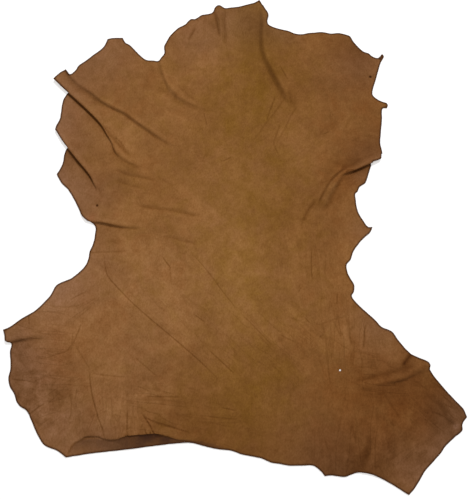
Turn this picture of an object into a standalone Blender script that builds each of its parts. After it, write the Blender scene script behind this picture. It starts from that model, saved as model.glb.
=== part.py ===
"""A tanned hide in one sheet of suede leather, cut round its natural outline and lying on a table.

The neck points to +Y and the rump to -Y, with two forelegs and two hind legs at the sides. The sheet's
underside rests on the plane Z = 0, and only its pleats, ridges and edges rise from it.
"""

import math
from typing import NamedTuple

import bpy
import numpy as np
from mathutils import Vector
from mathutils.geometry import delaunay_2d_cdt, interpolate_bezier

MM = 0.001

# ---- Driving dimensions, in millimetres ----
LEATHER_THICKNESS = 1.2     # garment suede with a raised nap
EDGE_STEP = 9.0             # spacing of points along the cut edge
FIELD_STEP = 16.0           # spacing of points over the flat of the hide
FOLD_STEP = 8.0             # spacing of points along a fold
FIELD_CLEARANCE = 9.0       # the flat's points stay this far from the cut edge
FIELD_MARGIN = 6.5          # and this far outside a fold
ROW_CLEARANCE = 2.5         # a fold's points stay this far from the cut edge
ROW_GAP = 1.8               # and this far from each other
BEND_TOLERANCE = 0.6        # an edge is split where its middle leaves the straight by more than this
BEND_SPLITS = 2             # at most this many times over
MERGE_GAP = 0.0001          # points of the flat cut nearer than this are one
FRONT_ROWS = (0.25, 0.5, 0.75, 1.0)     # rows of points down a fold's steep front, as shares of its width
BACK_ROWS = (0.0, 0.35, 0.7, 1.0)       # rows down its gentle back
HANG_FROM = 0.2             # a leaning front juts out, then turns under between this share and its mirror

NODE_NAME = "hide"
COLLECTION_NAME = "leather_hide"
SUEDE_COLOUR = (0.235, 0.103, 0.034, 1.0)
SUEDE_ROUGHNESS = 0.92


class Edge(NamedTuple):
    """A point of the cut edge: its place, and whether the edge turns there softly or sharply."""

    x: float
    y: float
    turn: str = "soft"


class Station(NamedTuple):
    """A place along a fold's crest, seen walking along it with the steep front on the right.

    rise is the crest's height over the table. front and back are the widths of its two sides before the
    crest is pushed over by lean towards the front, which makes it overhang where the front is narrow.
    """

    x: float
    y: float
    rise: float
    front: float
    back: float
    lean: float = 0.0


class Swell(NamedTuple):
    """A broad low mound: its middle, its height, and its half length and half width, turned by degrees."""

    x: float
    y: float
    rise: float
    half_length: float
    half_width: float
    turned: float


# ---- The cut edge, clockwise as seen from above, one table for each stretch of the animal ----
OUTLINE = {
    "neck, left of its peak": (
        Edge(-116, 282), Edge(-112, 303), Edge(-102, 324), Edge(-90, 337), Edge(-73, 350), Edge(-62, 354),
        Edge(-45, 362), Edge(-34, 364), Edge(-29, 374), Edge(-23, 378), Edge(-8, 374), Edge(14, 378),
        Edge(31, 383), Edge(46, 390, "sharp"),
    ),
    "neck and shoulder, right": (
        Edge(55, 373), Edge(61, 362), Edge(59, 347), Edge(63, 340), Edge(78, 336), Edge(105, 327),
        Edge(116, 326), Edge(138, 329), Edge(165, 327), Edge(189, 325), Edge(197, 321), Edge(207, 304),
        Edge(217, 294), Edge(236, 283), Edge(241, 283), Edge(247, 290, "sharp"),
    ),
    "foreleg, right": (
        Edge(250, 285), Edge(245, 276), Edge(235, 245), Edge(228, 222), Edge(229, 215), Edge(239, 207),
        Edge(250, 203, "sharp"), Edge(252, 199), Edge(250, 194, "sharp"), Edge(243, 193), Edge(241, 174),
        Edge(236, 145), Edge(236, 131), Edge(238, 119), Edge(234, 112), Edge(219, 107, "sharp"),
    ),
    "flank, right": (
        Edge(220, 96, "sharp"), Edge(216, 85), Edge(209, 67), Edge(200, 61), Edge(193, 50), Edge(194, 29),
        Edge(197, 18), Edge(203, 7), Edge(210, -3), Edge(217, -3, "sharp"), Edge(213, -12),
        Edge(197, -27), Edge(186, -42), Edge(175, -62), Edge(176, -75), Edge(185, -95),
        Edge(181, -108, "sharp"), Edge(186, -119),
    ),
    "hind leg, right": (
        Edge(200, -133), Edge(223, -156), Edge(232, -160), Edge(240, -165), Edge(261, -193),
        Edge(271, -199), Edge(287, -206), Edge(291, -212), Edge(290, -218), Edge(307, -242),
        Edge(326, -264), Edge(335, -274), Edge(339, -285, "sharp"),
    ),
    "shank, right": (
        Edge(331, -295), Edge(330, -303), Edge(315, -315), Edge(298, -334), Edge(274, -358),
        Edge(256, -383), Edge(249, -390, "sharp"),
    ),
    "rump, right of the spine": (
        Edge(231, -379), Edge(219, -372), Edge(196, -362), Edge(180, -360), Edge(160, -366),
        Edge(132, -365, "sharp"), Edge(126, -358), Edge(115, -351), Edge(99, -351), Edge(70, -349),
        Edge(57, -347), Edge(42, -341),
    ),
    "rump, left of the spine": (
        Edge(15, -336), Edge(0, -331), Edge(-34, -326), Edge(-65, -320), Edge(-97, -323),
        Edge(-146, -329), Edge(-201, -335), Edge(-234, -340, "sharp"),
    ),
    "hind leg, left": (
        Edge(-243, -334), Edge(-252, -329), Edge(-266, -323), Edge(-274, -314), Edge(-288, -288),
        Edge(-295, -276), Edge(-308, -267), Edge(-315, -253), Edge(-323, -240), Edge(-325, -229),
        Edge(-323, -217), Edge(-326, -192), Edge(-325, -180), Edge(-333, -175), Edge(-339, -160, "sharp"),
    ),
    "flank, left": (
        Edge(-313, -144), Edge(-283, -122), Edge(-268, -100), Edge(-258, -90), Edge(-242, -83),
        Edge(-227, -70), Edge(-218, -52), Edge(-217, -43), Edge(-210, -16), Edge(-210, -3),
        Edge(-223, 8),
    ),
    "foreleg, left": (
        Edge(-232, 16), Edge(-246, 42), Edge(-256, 57), Edge(-267, 68), Edge(-275, 82, "sharp"),
        Edge(-265, 106), Edge(-261, 120), Edge(-255.5, 130, "sharp"), Edge(-277, 160, "sharp"),
        Edge(-275, 187), Edge(-273, 207), Edge(-267, 219), Edge(-259.5, 227, "sharp"),
    ),
    "shoulder, left": (
        Edge(-285, 250, "sharp"), Edge(-280, 257), Edge(-272, 262, "sharp"), Edge(-266, 253),
        Edge(-262, 253), Edge(-252, 268), Edge(-242, 276), Edge(-228, 288), Edge(-217, 297),
        Edge(-206, 317, "sharp"), Edge(-197, 319), Edge(-181, 319, "sharp"), Edge(-176, 310),
        Edge(-151, 287), Edge(-141, 279), Edge(-129, 278), Edge(-120, 277),
    ),
}

# ---- The folds, one table for each, in the order in which they are met from the left foreleg round ----
FOLDS = {
    "pleat over the left foreleg": (
        Station(-292, 256, 3.5, 7, 10, 8), Station(-284, 250, 4.0, 7, 10, 8),
        Station(-259, 228, 4.5, 8, 11, 10), Station(-241, 213, 5.0, 9, 12, 11),
        Station(-219, 192, 5.0, 9, 14, 11), Station(-202, 171, 4.5, 9, 22, 10),
        Station(-194, 154, 4.5, 9, 30, 8), Station(-186, 136, 4.0, 10, 36, 5.5),
        Station(-182, 123, 3.5, 12, 42, 3.5), Station(-167, 105, 2.0, 14, 44, 1.5),
        Station(-148, 93, 0.0, 16, 46, 0),
    ),
    "bank above that pleat": (
        Station(-260, 254, 2.0, 6, 24), Station(-243, 238, 3.0, 6, 34), Station(-226, 223, 3.5, 6, 44),
        Station(-210, 210, 3.5, 6, 54), Station(-190, 200, 3.5, 7, 60), Station(-172, 191, 3.5, 8, 66),
        Station(-151, 175, 3.5, 8, 70), Station(-134, 160, 3.0, 9, 70), Station(-110, 146, 2.0, 10, 66),
        Station(-76, 128, 0.0, 12, 60),
    ),
    "pleat below it": (
        Station(-283, 167, 3.0, 7, 14, 6), Station(-276, 159, 3.5, 7, 14, 6),
        Station(-254, 130, 5.5, 8, 16, 8), Station(-236, 109, 6.0, 8, 18, 9),
        Station(-217, 83, 5.0, 8, 18, 7), Station(-211, 65, 3.5, 7, 16, 4),
        Station(-207, 54, 0.0, 7, 14, 0),
    ),
    "roll across the left waist": (
        Station(-236, 10, 2.5, 8, 16, 2), Station(-223, 14, 3.5, 8, 16, 2),
        Station(-212, 14, 4.5, 8, 18, 3), Station(-196, 12, 4.5, 8, 20, 3),
        Station(-177, 6, 3.5, 10, 22, 2), Station(-150, 1, 2.0, 12, 24), Station(-120, -4, 0.0, 14, 24),
    ),
    "ridge right of the neck's trough": (
        Station(54, 372, 3.0, 7, 18), Station(55, 345, 4.0, 7, 25), Station(54, 312, 4.5, 7, 32),
        Station(57, 291, 5.0, 7, 38), Station(70, 258, 5.5, 8, 40), Station(80, 236, 5.5, 8, 38),
        Station(90, 217, 4.0, 9, 38), Station(104, 200, 0.0, 12, 34),
    ),
    "bank left of the neck": (
        Station(-117, 284, 2.5, 8, 26), Station(-113, 262, 3.5, 8, 28), Station(-107, 243, 4.0, 8, 30),
        Station(-91, 221, 3.5, 8, 32), Station(-70, 204, 2.5, 9, 34), Station(-44, 194, 0.0, 10, 34),
    ),
    "pucker in the neck": (
        Station(-21, 386, 2.5, 8, 9), Station(-20, 368, 2.5, 8, 9), Station(-19, 345, 2.0, 9, 10),
        Station(-17, 310, 0.0, 10, 10),
    ),
    "roll out to the right foreleg": (
        Station(170, 80, 0.0, 6, 8), Station(178, 86, 2.5, 6, 9, 2.5), Station(184, 90, 4.5, 7, 10, 5),
        Station(191, 95, 5.5, 8, 11, 7), Station(203, 101, 6.0, 8, 12, 7),
        Station(217, 107, 6.0, 8, 12, 7), Station(231, 113, 5.0, 8, 12, 6),
    ),
    "ridge down from that roll": (
        Station(183, 92, 1.5, 6, 9), Station(175, 85, 4.0, 6, 9), Station(167, 75, 4.5, 6, 9),
        Station(159, 65, 4.5, 6, 9), Station(152, 55, 4.0, 6, 9), Station(147, 45, 3.5, 6, 9),
        Station(142, 35, 2.0, 6, 9), Station(136, 24, 0.0, 6, 9),
    ),
    "ridge along the left hind leg": (
        Station(-352, -178, 4.0, 7, 18, 2), Station(-337, -175, 4.5, 7, 18, 2),
        Station(-324, -173, 5.0, 7, 18, 2), Station(-308, -169.5, 5.0, 7, 20, 2),
        Station(-296, -168, 4.5, 7, 22, 1), Station(-280, -167, 3.0, 8, 22),
        Station(-256, -165, 0.0, 10, 24),
    ),
    "slope down to the rump's edge": (
        Station(-232, -336, 1.0, 8, 14), Station(-214, -312, 3.0, 18, 26),
        Station(-196, -306, 4.5, 24, 34), Station(-178, -308, 4.5, 23, 40),
        Station(-158, -308, 5.0, 22, 44), Station(-136, -305, 5.5, 22, 46),
        Station(-113, -302, 5.5, 22, 46), Station(-92, -303, 4.5, 20, 40),
        Station(-72, -310, 2.5, 14, 34), Station(-50, -317, 0.0, 10, 28),
    ),
    "lip above that slope": (
        Station(-224, -318, 0.0, 5, 10, 0), Station(-208, -307, 1.5, 5, 10, 3),
        Station(-196, -305, 2.0, 5, 10, 4), Station(-178, -309, 2.0, 5, 10, 4),
        Station(-158, -309, 2.2, 5, 10, 4), Station(-136, -306, 2.5, 5, 11, 4.5),
        Station(-113, -301, 2.8, 5, 12, 5), Station(-100, -302, 2.4, 5, 11, 4),
        Station(-84, -309, 1.2, 6, 10, 2), Station(-66, -317, 0.0, 7, 10, 0),
    ),
    "ridge across the right hind leg": (
        Station(180, -243, 0.0, 10, 10), Station(203, -238, 2.0, 10, 10), Station(226, -232, 3.0, 9, 9),
        Station(250, -225, 3.5, 9, 10, 1), Station(272, -214, 3.0, 12, 10),
        Station(296, -206, 2.0, 12, 10),
    ),
    "fold down to the right of the rump": (
        Station(211, -290, 0.0, 11, 26), Station(207, -312, 2.5, 11, 30), Station(201, -330, 3.0, 11, 32),
        Station(190, -358, 1.5, 11, 32), Station(184, -374, 0.5, 11, 32),
    ),
    "curl along the right hind leg's end": (
        Station(291, -249, 0.0, 12, 12), Station(300, -258, 1.0, 12, 12), Station(308, -267, 2.0, 12, 12),
        Station(315, -280, 2.5, 12, 11), Station(323, -291, 2.5, 12, 10), Station(332, -304, 2.0, 12, 10),
    ),
}

# ---- Broad mounds where the hide doesn't quite lie flat ----
SWELLS = (
    Swell(-150, 240, 2.5, 110, 45, -50),
    Swell(120, 250, 2.5, 130, 60, 10),
    Swell(-110, -180, 2.0, 120, 60, -40),
    Swell(150, -150, 2.0, 90, 50, -60),
    Swell(240, -310, 3.0, 90, 45, 35),
    Swell(-270, -240, 2.5, 70, 40, 70),
    Swell(-110, 20, 1.6, 100, 50, -10),
    Swell(-160, 80, 1.4, 80, 40, -15),
    Swell(225, -232, 1.6, 80, 35, 15),
    Swell(-20, 350, 1.4, 60, 45, 90),
    Swell(160, 70, 1.8, 70, 35, 45),
    Swell(300, -275, 1.2, 50, 30, -45),
)


# ---- Curves and even spacing ----

def curve_through(points, sharp, step):
    """Points about one step apart along the smooth curve through the given ones, and their sharp flags."""
    places = [Vector(point) for point in points]
    count = len(places)
    handles = []
    for i, here in enumerate(places):
        before = places[max(i - 1, 0)]
        after = places[min(i + 1, count - 1)]
        along = Vector((0.0, 0.0)) if sharp[i] else (after - before).normalized()
        handles.append(along)
    line = [tuple(places[0])]
    for i in range(count - 1):
        a, b = places[i], places[i + 1]
        reach = (b - a).length / 3
        pieces = max(1, round((b - a).length / step))
        curve = interpolate_bezier(a, a + handles[i] * reach, b - handles[i + 1] * reach, b, pieces + 1)
        line += [tuple(point) for point in curve[1:]]
    return line


def cut_edge():
    """The closed outline as a loop of points, counter-clockwise."""
    rows = [row for stretch in OUTLINE.values() for row in stretch]
    first_corner = next(i for i, row in enumerate(rows) if row.turn == "sharp")
    rows = rows[first_corner:] + rows[:first_corner + 1]
    sharp = [row.turn == "sharp" for row in rows]
    loop = curve_through([(row.x, row.y) for row in rows], sharp, EDGE_STEP)[:-1]
    return np.array(loop[::-1])


# ---- The form of the folds ----

def fade(share):
    """1 at 0, falling smoothly to 0 at 1."""
    return 0.5 + 0.5 * np.cos(math.pi * share)


class Crest:
    """One fold's crest as a fine line, with the station values carried along it."""

    def __init__(self, stations):
        places = [(s.x, s.y) for s in stations]
        self.line = np.array(curve_through(places, [False] * len(places), FOLD_STEP))
        knots = [int(np.argmin(np.hypot(*(self.line - (s.x, s.y)).T))) for s in stations]
        along = np.arange(len(self.line))
        self.values = np.column_stack(
            [np.interp(along, knots, column) for column in zip(*[s[2:] for s in stations])]
        )

    def across(self, points):
        """For each point, its distance from the crest, positive towards the front, and the values there."""
        start, end = self.line[:-1], self.line[1:]
        run = end - start
        offset = points[:, None, :] - start
        share = np.clip((offset * run).sum(2) / (run * run).sum(1), 0.0, 1.0)
        away = offset - share[..., None] * run
        distance = np.hypot(away[..., 0], away[..., 1])
        nearest = distance.argmin(1)
        pick = np.arange(len(points))
        run = run[nearest]
        away = away[pick, nearest]
        share = share[pick, nearest][:, None]
        length = np.hypot(run[:, 0], run[:, 1])
        right = np.column_stack([run[:, 1], -run[:, 0]]) / length[:, None]
        side = (away * right).sum(1)
        values = self.values[nearest] * (1 - share) + self.values[nearest + 1] * share
        signed = np.where(side < 0, -1.0, 1.0) * distance[pick, nearest]
        return signed, right, values

    def push(self, points):
        """How far the fold moves each point sideways, and how high it lifts it."""
        signed, right, values = self.across(points)
        rise, front, back, lean = values.T
        share = np.clip(np.where(signed > 0, signed / front, -signed / back), 0.0, 1.0)
        late = np.clip((share - HANG_FROM) / (1 - 2 * HANG_FROM), 0.0, 1.0)
        hang = np.where(signed > 0, late, share)
        return right * (lean * fade(hang))[:, None], rise * fade(share)

    def rows(self):
        """Rows of points that follow the crest down both sides."""
        ahead = np.gradient(self.line, axis=0)
        ahead /= np.hypot(ahead[:, 0], ahead[:, 1])[:, None]
        right = np.column_stack([ahead[:, 1], -ahead[:, 0]])
        front, back = self.values[:, 1:2], self.values[:, 2:3]
        down_front = [self.line + right * front * share for share in FRONT_ROWS]
        down_back = [self.line - right * back * share for share in BACK_ROWS]
        return np.vstack(down_back + down_front)

    def covers(self, points):
        """True where a point lies on the fold or close beside it."""
        signed, _, values = self.across(points)
        return (signed < values[:, 1] + FIELD_MARGIN) & (signed > -values[:, 2] - FIELD_MARGIN)


def swell_rise(swell, points):
    """The height of a broad mound under each point."""
    turned = math.radians(swell.turned)
    x, y = points[:, 0] - swell.x, points[:, 1] - swell.y
    u = (x * math.cos(turned) + y * math.sin(turned)) / swell.half_length
    v = (y * math.cos(turned) - x * math.sin(turned)) / swell.half_width
    reach = np.clip(np.hypot(u, v), 0.0, 1.0)
    return swell.rise * fade(reach)


def shaped(points, crests):
    """The points of the flat cut moved to where they lie on the table, in three dimensions."""
    sideways = np.zeros((len(points), 2))
    height = np.zeros(len(points))
    for crest in crests:
        push, lift = crest.push(points)
        sideways += push
        height += lift
    for swell in SWELLS:
        height += swell_rise(swell, points)
    return np.column_stack([points + sideways, height])


# ---- The flat cut and its points ----

def split_where_it_bends(loop, crests):
    """The loop with more points where a fold bends it."""
    for _ in range(BEND_SPLITS):
        after = np.roll(loop, -1, axis=0)
        middle = (loop + after) / 2
        straight = (shaped(loop, crests) + shaped(after, crests)) / 2
        off = np.linalg.norm(shaped(middle, crests) - straight, axis=1)
        finer = []
        for point, half, bend in zip(loop, middle, off):
            finer.append(point)
            if bend > BEND_TOLERANCE:
                finer.append(half)
        loop = np.array(finer)
    return loop


def inside(points, loop):
    """True where a point lies within the loop."""
    ends = np.roll(loop, -1, axis=0)
    x, y = points[:, :1], points[:, 1:]
    crosses = (loop[:, 1] > y) != (ends[:, 1] > y)
    slope = (ends[:, 0] - loop[:, 0]) / np.where(ends[:, 1] == loop[:, 1], 1.0, ends[:, 1] - loop[:, 1])
    hit = loop[:, 0] + (y - loop[:, 1]) * slope
    return (crosses & (x < hit)).sum(1) % 2 == 1


def distance_to(points, loop):
    """Each point's distance from the loop."""
    run = np.roll(loop, -1, axis=0) - loop
    offset = points[:, None, :] - loop
    share = np.clip((offset * run).sum(2) / (run * run).sum(1), 0.0, 1.0)
    away = offset - share[..., None] * run
    return np.hypot(away[..., 0], away[..., 1]).min(1)


def field_points(loop):
    """Points in staggered rows over the whole hide."""
    low, high = loop.min(0), loop.max(0)
    row_gap = FIELD_STEP * math.sqrt(3) / 2
    points = []
    for row, y in enumerate(np.arange(low[1], high[1], row_gap)):
        start = low[0] + (row % 2) * FIELD_STEP / 2
        points += [(x, y) for x in np.arange(start, high[0], FIELD_STEP)]
    return np.array(points)


def thinned(points, gap):
    """The points, without any that lies closer than the gap to an earlier one."""
    kept = []
    for point in points:
        if all(math.hypot(point[0] - other[0], point[1] - other[1]) >= gap for other in kept):
            kept.append(point)
    return np.array(kept)


def flat_points(loop, crests):
    """All points within the cut: rows along the folds, and the even field between them."""
    rows = thinned(np.vstack([crest.rows() for crest in crests]), ROW_GAP)
    rows = rows[inside(rows, loop) & (distance_to(rows, loop) > ROW_CLEARANCE)]
    field = field_points(loop)
    field = field[inside(field, loop) & (distance_to(field, loop) > FIELD_CLEARANCE)]
    on_fold = np.any([crest.covers(field) for crest in crests], axis=0)
    return np.vstack([rows, field[~on_fold]])


# ---- The object ----

def suede_material():
    material = bpy.data.materials.new("suede")
    material.use_nodes = True
    shader = material.node_tree.nodes["Principled BSDF"]
    shader.inputs["Base Color"].default_value = SUEDE_COLOUR
    shader.inputs["Roughness"].default_value = SUEDE_ROUGHNESS
    shader.inputs["Metallic"].default_value = 0.0
    return material


def hide_object(collection):
    """The sheet of leather, thickened upwards from its underside."""
    crests = [Crest(stations) for stations in FOLDS.values()]
    loop = split_where_it_bends(cut_edge(), crests)
    inner = flat_points(loop, crests)
    flat = [Vector(point) for point in np.vstack([loop, inner])]
    found = delaunay_2d_cdt(flat, [], [list(range(len(loop)))], 1, MERGE_GAP, False)
    corners, faces = np.array([tuple(point) for point in found[0]]), np.array(found[2])
    leather_faces = faces[inside(corners[faces].mean(1), loop)]
    mesh = bpy.data.meshes.new(NODE_NAME)
    mesh.from_pydata((shaped(corners, crests) * MM).tolist(), [], leather_faces.tolist())
    mesh.shade_smooth()
    mesh.materials.append(suede_material())
    hide = bpy.data.objects.new(NODE_NAME, mesh)
    collection.objects.link(hide)
    leather = hide.modifiers.new("leather", "SOLIDIFY")
    leather.thickness = LEATHER_THICKNESS * MM
    leather.offset = 1.0
    return hide


def main():
    for old in list(bpy.data.objects):
        bpy.data.objects.remove(old, do_unlink=True)
    collection = bpy.data.collections.new(COLLECTION_NAME)
    bpy.context.scene.collection.children.link(collection)
    hide_object(collection)


main()
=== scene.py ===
# %% [markdown]
# # A hide of suede leather
#
# This lesson dresses one flat part: a tanned skin, cut round its natural outline and laid on a table. The
# neck points to +Y, the rump to -Y, and four short legs stick out at the sides. The real thing is a single
# piece of leather a little over a millimetre thick, so we build one sheet and spend our care on three
# things: the cut edge, the folds and creases, and the brushed nap.
#
# All the tables are in millimetres, because that is how a hide is measured. Blender works in metres, so
# the numbers are scaled once, at the moment the mesh is made.

# %% Load the frame
import math
from typing import NamedTuple

import bpy
import numpy as np
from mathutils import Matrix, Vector, kdtree, noise
from mathutils.geometry import delaunay_2d_cdt, interpolate_bezier


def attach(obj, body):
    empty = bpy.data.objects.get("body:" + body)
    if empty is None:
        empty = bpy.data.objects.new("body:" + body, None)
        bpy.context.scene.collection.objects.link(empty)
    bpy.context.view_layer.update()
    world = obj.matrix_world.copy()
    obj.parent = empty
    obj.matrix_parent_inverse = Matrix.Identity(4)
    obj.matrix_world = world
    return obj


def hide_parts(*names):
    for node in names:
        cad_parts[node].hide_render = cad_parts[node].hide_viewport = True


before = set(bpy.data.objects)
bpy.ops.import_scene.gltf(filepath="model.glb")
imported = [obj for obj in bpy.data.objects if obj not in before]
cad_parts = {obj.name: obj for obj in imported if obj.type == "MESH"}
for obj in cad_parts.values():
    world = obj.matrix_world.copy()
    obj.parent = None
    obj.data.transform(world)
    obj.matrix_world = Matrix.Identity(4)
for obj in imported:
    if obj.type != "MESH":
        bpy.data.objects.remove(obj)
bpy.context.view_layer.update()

MM = 0.001

# %% [markdown]
# ## The camera
#
# The hide is looked at almost from straight above, as someone bending over a cutting table sees it. The
# camera stands a little on the rump's side and leans 11.5 degrees, so the rump looks slightly larger than
# the neck. We place it with two numbers, a distance and a lean, and let Blender turn it to its target.

# %% Camera
CAMERA_TARGET = Vector((0.0075, -0.0394, 0.0))
CAMERA_DISTANCE = 0.8412
CAMERA_LEAN = math.radians(11.53)

camera_data = bpy.data.cameras.new("camera over the table")
camera_data.sensor_width = 36.0
camera_data.lens = 39.6
camera = bpy.data.objects.new("camera over the table", camera_data)
bpy.context.scene.collection.objects.link(camera)
away = Vector((0.0, -math.sin(CAMERA_LEAN), math.cos(CAMERA_LEAN)))
camera.location = CAMERA_TARGET + away * CAMERA_DISTANCE
camera.rotation_euler = (-away).to_track_quat("-Z", "Y").to_euler()
bpy.context.scene.camera = camera
print("Camera at", tuple(round(v, 3) for v in camera.location))

# %% [markdown]
# ## Curves through a few points
#
# A knife follows a hide's edge in long smooth sweeps and turns sharply only at the tips. So an outline is
# best written as a few points, each marked soft or sharp. Between two points we run a Bezier piece whose
# handles follow the neighbours. A sharp point gets a handle of no length, which lets the line turn there.
# The same helper draws the crests of the folds and the lines of the creases.

# %% Curve helper
def curve_through(points, step, sharp=None):
    """Places about one step apart along the smooth line through the given points."""
    places = [Vector(point) for point in points]
    last = len(places) - 1
    handles = []
    for i, here in enumerate(places):
        turns = sharp is not None and sharp[i]
        along = (places[min(i + 1, last)] - places[max(i - 1, 0)]).normalized()
        handles.append(Vector((0.0, 0.0)) if turns else along)
    line = [places[0].to_tuple()]
    for i in range(last):
        a, b = places[i], places[i + 1]
        reach = (b - a).length / 3
        count = max(1, round((b - a).length / step)) + 1
        piece = interpolate_bezier(a, a + handles[i] * reach, b - handles[i + 1] * reach, b, count)
        line += [(point.x, point.y) for point in piece[1:]]
    return np.array(line)


# %% [markdown]
# ## The outline
#
# The table goes clockwise round the animal, one row of points for each stretch. The shape is lopsided, as
# skins are: the left foreleg is pleated up short, and the right hind leg is long and pulled down. Each
# point gives x and y, and "sharp" marks a tip or a notch. Like every table here it is written in plain
# numbers, and a class above it says what its columns are called.

# %% Outline table
class Edge(NamedTuple):
    x: float
    y: float
    turn: str = "soft"


def table(kind, rows):
    """The rows of a table with their columns named."""
    return tuple(kind(*row) for row in rows)


OUTLINE = {
    "neck, left of its peak": (
        (-116, 282), (-111, 290), (-112, 303), (-109, 311), (-102, 324), (-90, 337), (-78, 344), (-73, 350),
        (-68, 354), (-62, 354), (-51, 361), (-45, 362), (-34, 364), (-31, 368), (-29, 374), (-24, 378),
        (-12, 374), (-4, 375), (14, 378), (31, 383), (38, 385), (46, 390, "sharp")),
    "neck and shoulder, right": (
        (55, 373), (61, 362), (59, 347), (62, 341), (78, 336), (94, 332), (105, 327), (116, 326),
        (126, 328), (138, 329), (150, 330), (165, 327), (178, 328), (189, 325), (196, 322), (200, 314),
        (207, 304), (217, 294), (225, 291), (230, 286), (236, 283), (241, 283), (247, 290, "sharp")),
    "foreleg, right": (
        (250, 285), (245, 276), (235, 245), (228, 222), (229, 215), (239, 207), (250, 203, "sharp"),
        (252, 199), (250, 194, "sharp"), (243, 193), (241, 174), (238, 151), (236, 134), (238, 119),
        (234, 112), (219, 107, "sharp")),
    "flank, right": (
        (220, 96, "sharp"), (216, 85), (211, 71), (209, 67), (200, 61), (197, 54), (193, 50), (193, 38),
        (194, 29), (197, 18), (203, 7), (210, -3), (217, -3, "sharp"), (213, -12), (205, -19), (197, -27),
        (186, -42), (181, -55), (175, -62), (176, -75), (180, -84), (185, -94), (184, -104),
        (181, -108, "sharp"), (181, -112), (186, -119)),
    "hind leg, right": (
        (200, -133), (215, -147), (223, -156), (232, -160), (240, -165), (247, -176), (261, -193),
        (271, -199), (287, -206), (291, -212), (290, -218), (307, -242), (317, -254), (326, -264),
        (335, -274), (339, -285, "sharp")),
    "shank, right": (
        (331, -295), (330, -303), (320, -312), (306, -324), (298, -334), (288, -344), (274, -358),
        (267, -368), (256, -383), (249, -390, "sharp")),
    "rump, right of the spine": (
        (244, -387), (231, -379), (219, -372), (209, -367), (196, -362), (180, -360), (169, -363),
        (160, -366), (142, -364), (132, -365, "sharp"), (126, -358), (115, -351), (99, -351), (82, -351),
        (70, -349), (57, -347), (42, -341)),
    "rump, left of the spine": (
        (15, -336), (0, -331), (-19, -329), (-34, -326), (-53, -321), (-65, -320), (-97, -323),
        (-146, -329), (-201, -335), (-234, -340, "sharp")),
    "hind leg, left": (
        (-243, -334), (-252, -329), (-261, -326), (-268, -322), (-274, -314), (-282, -300), (-288, -288),
        (-295, -276), (-305, -270), (-311, -263), (-315, -253), (-322, -242), (-325, -230), (-323, -217),
        (-326, -192), (-325, -180), (-333, -175), (-335, -168), (-339, -160, "sharp")),
    "flank, left": (
        (-329, -156), (-313, -144), (-296, -134), (-283, -122), (-272, -109), (-265, -95), (-258, -90),
        (-242, -83), (-227, -70), (-221, -62), (-218, -52), (-217, -43), (-212, -30), (-210, -16),
        (-210, -3), (-223, 8)),
    "foreleg, left": (
        (-232, 16), (-238, 27), (-246, 42), (-256, 57), (-267, 68), (-275, 82, "sharp"), (-269, 94),
        (-266, 104), (-265.5, 113), (-262, 124.5), (-255.5, 130, "sharp"), (-277, 160, "sharp"),
        (-276, 172), (-275, 187), (-273, 207), (-267, 219), (-259.5, 227, "sharp")),
    "shoulder, left": (
        (-285, 250, "sharp"), (-280, 257), (-272, 262, "sharp"), (-266, 253), (-262, 253), (-255, 261),
        (-252, 268), (-242, 276), (-228, 288), (-217, 297), (-211, 304), (-206, 317, "sharp"), (-197, 319),
        (-181, 319, "sharp"), (-176, 310), (-170, 307), (-151, 287), (-141, 279), (-129, 278), (-120, 277)),
}
print("Outline:", sum(len(stretch) for stretch in OUTLINE.values()), "points in", len(OUTLINE), "stretches")

# %% [markdown]
# ## The cut edge
#
# A skin is trimmed by hand with a round knife, and soft leather drags a little under the blade. The edge
# is therefore never a clean curve: it wavers by about a third of a millimetre. We walk the outline in
# 2 mm steps and push each point in or out by smooth noise. Noise from mathutils gives the same waver each
# time the script runs.

# %% Cut edge
EDGE_STEP = 2.0
WAVER = 0.35
WAVER_WAVES = ((1.0, 14.0, 3.0), (0.6, 5.0, 8.0))       # height, length and seed of each


def wave(point, length, seed):
    """Smooth noise from -1 to 1 that changes over the given length in millimetres."""
    return noise.noise(Vector((point[0] / length, point[1] / length, seed)))


def layered(waves, points):
    """At each point the sum of several waves, each given by its height, length and seed."""
    return sum(rise * np.array([wave(p, length, seed) for p in points]) for rise, length, seed in waves)


def rightwards(ahead):
    """Steps of length one to the right of each of these directions."""
    right = np.column_stack([ahead[:, 1], -ahead[:, 0]])
    return right / np.hypot(right[:, 0], right[:, 1])[:, None]


edge_rows = table(Edge, [row for stretch in OUTLINE.values() for row in stretch])
first_tip = next(i for i, row in enumerate(edge_rows) if row.turn == "sharp")
edge_rows = edge_rows[first_tip:] + edge_rows[:first_tip + 1]
tips = [row.turn == "sharp" for row in edge_rows]
smooth_loop = curve_through([row[:2] for row in edge_rows], EDGE_STEP, tips)[:-1][::-1]
outwards = rightwards(np.roll(smooth_loop, -1, axis=0) - np.roll(smooth_loop, 1, axis=0))
edge_loop = smooth_loop + outwards * (WAVER * layered(WAVER_WAVES, smooth_loop))[:, None]
edge_length = np.hypot(*(edge_loop - np.roll(edge_loop, 1, axis=0)).T).sum()
print("Cut edge:", len(edge_loop), "points,", round(edge_length), "mm")

# %% [markdown]
# ## The folds
#
# Soft leather never lies quite flat. Each fold is a crest with a steep front and a gentle back. We write
# it as a few stations along the crest: the place, the height, the widths of the two sides, and how far the
# crest has been pushed over. Walking along the stations, the steep front is on the right. A crest that
# leans further than its front is wide hangs over it, and that makes the thin dark line under a pleat, which
# is deepened with painted shadow. A last number, from 0 to 1, weakens that painted shadow and the painted
# shade of the hidden front where the leather opens again. It is left out where it is 1.

# %% Fold tables
class Station(NamedTuple):
    x: float
    y: float
    rise: float
    front: float
    back: float
    lean: float = 0.0
    shade: float = 1.0


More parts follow.
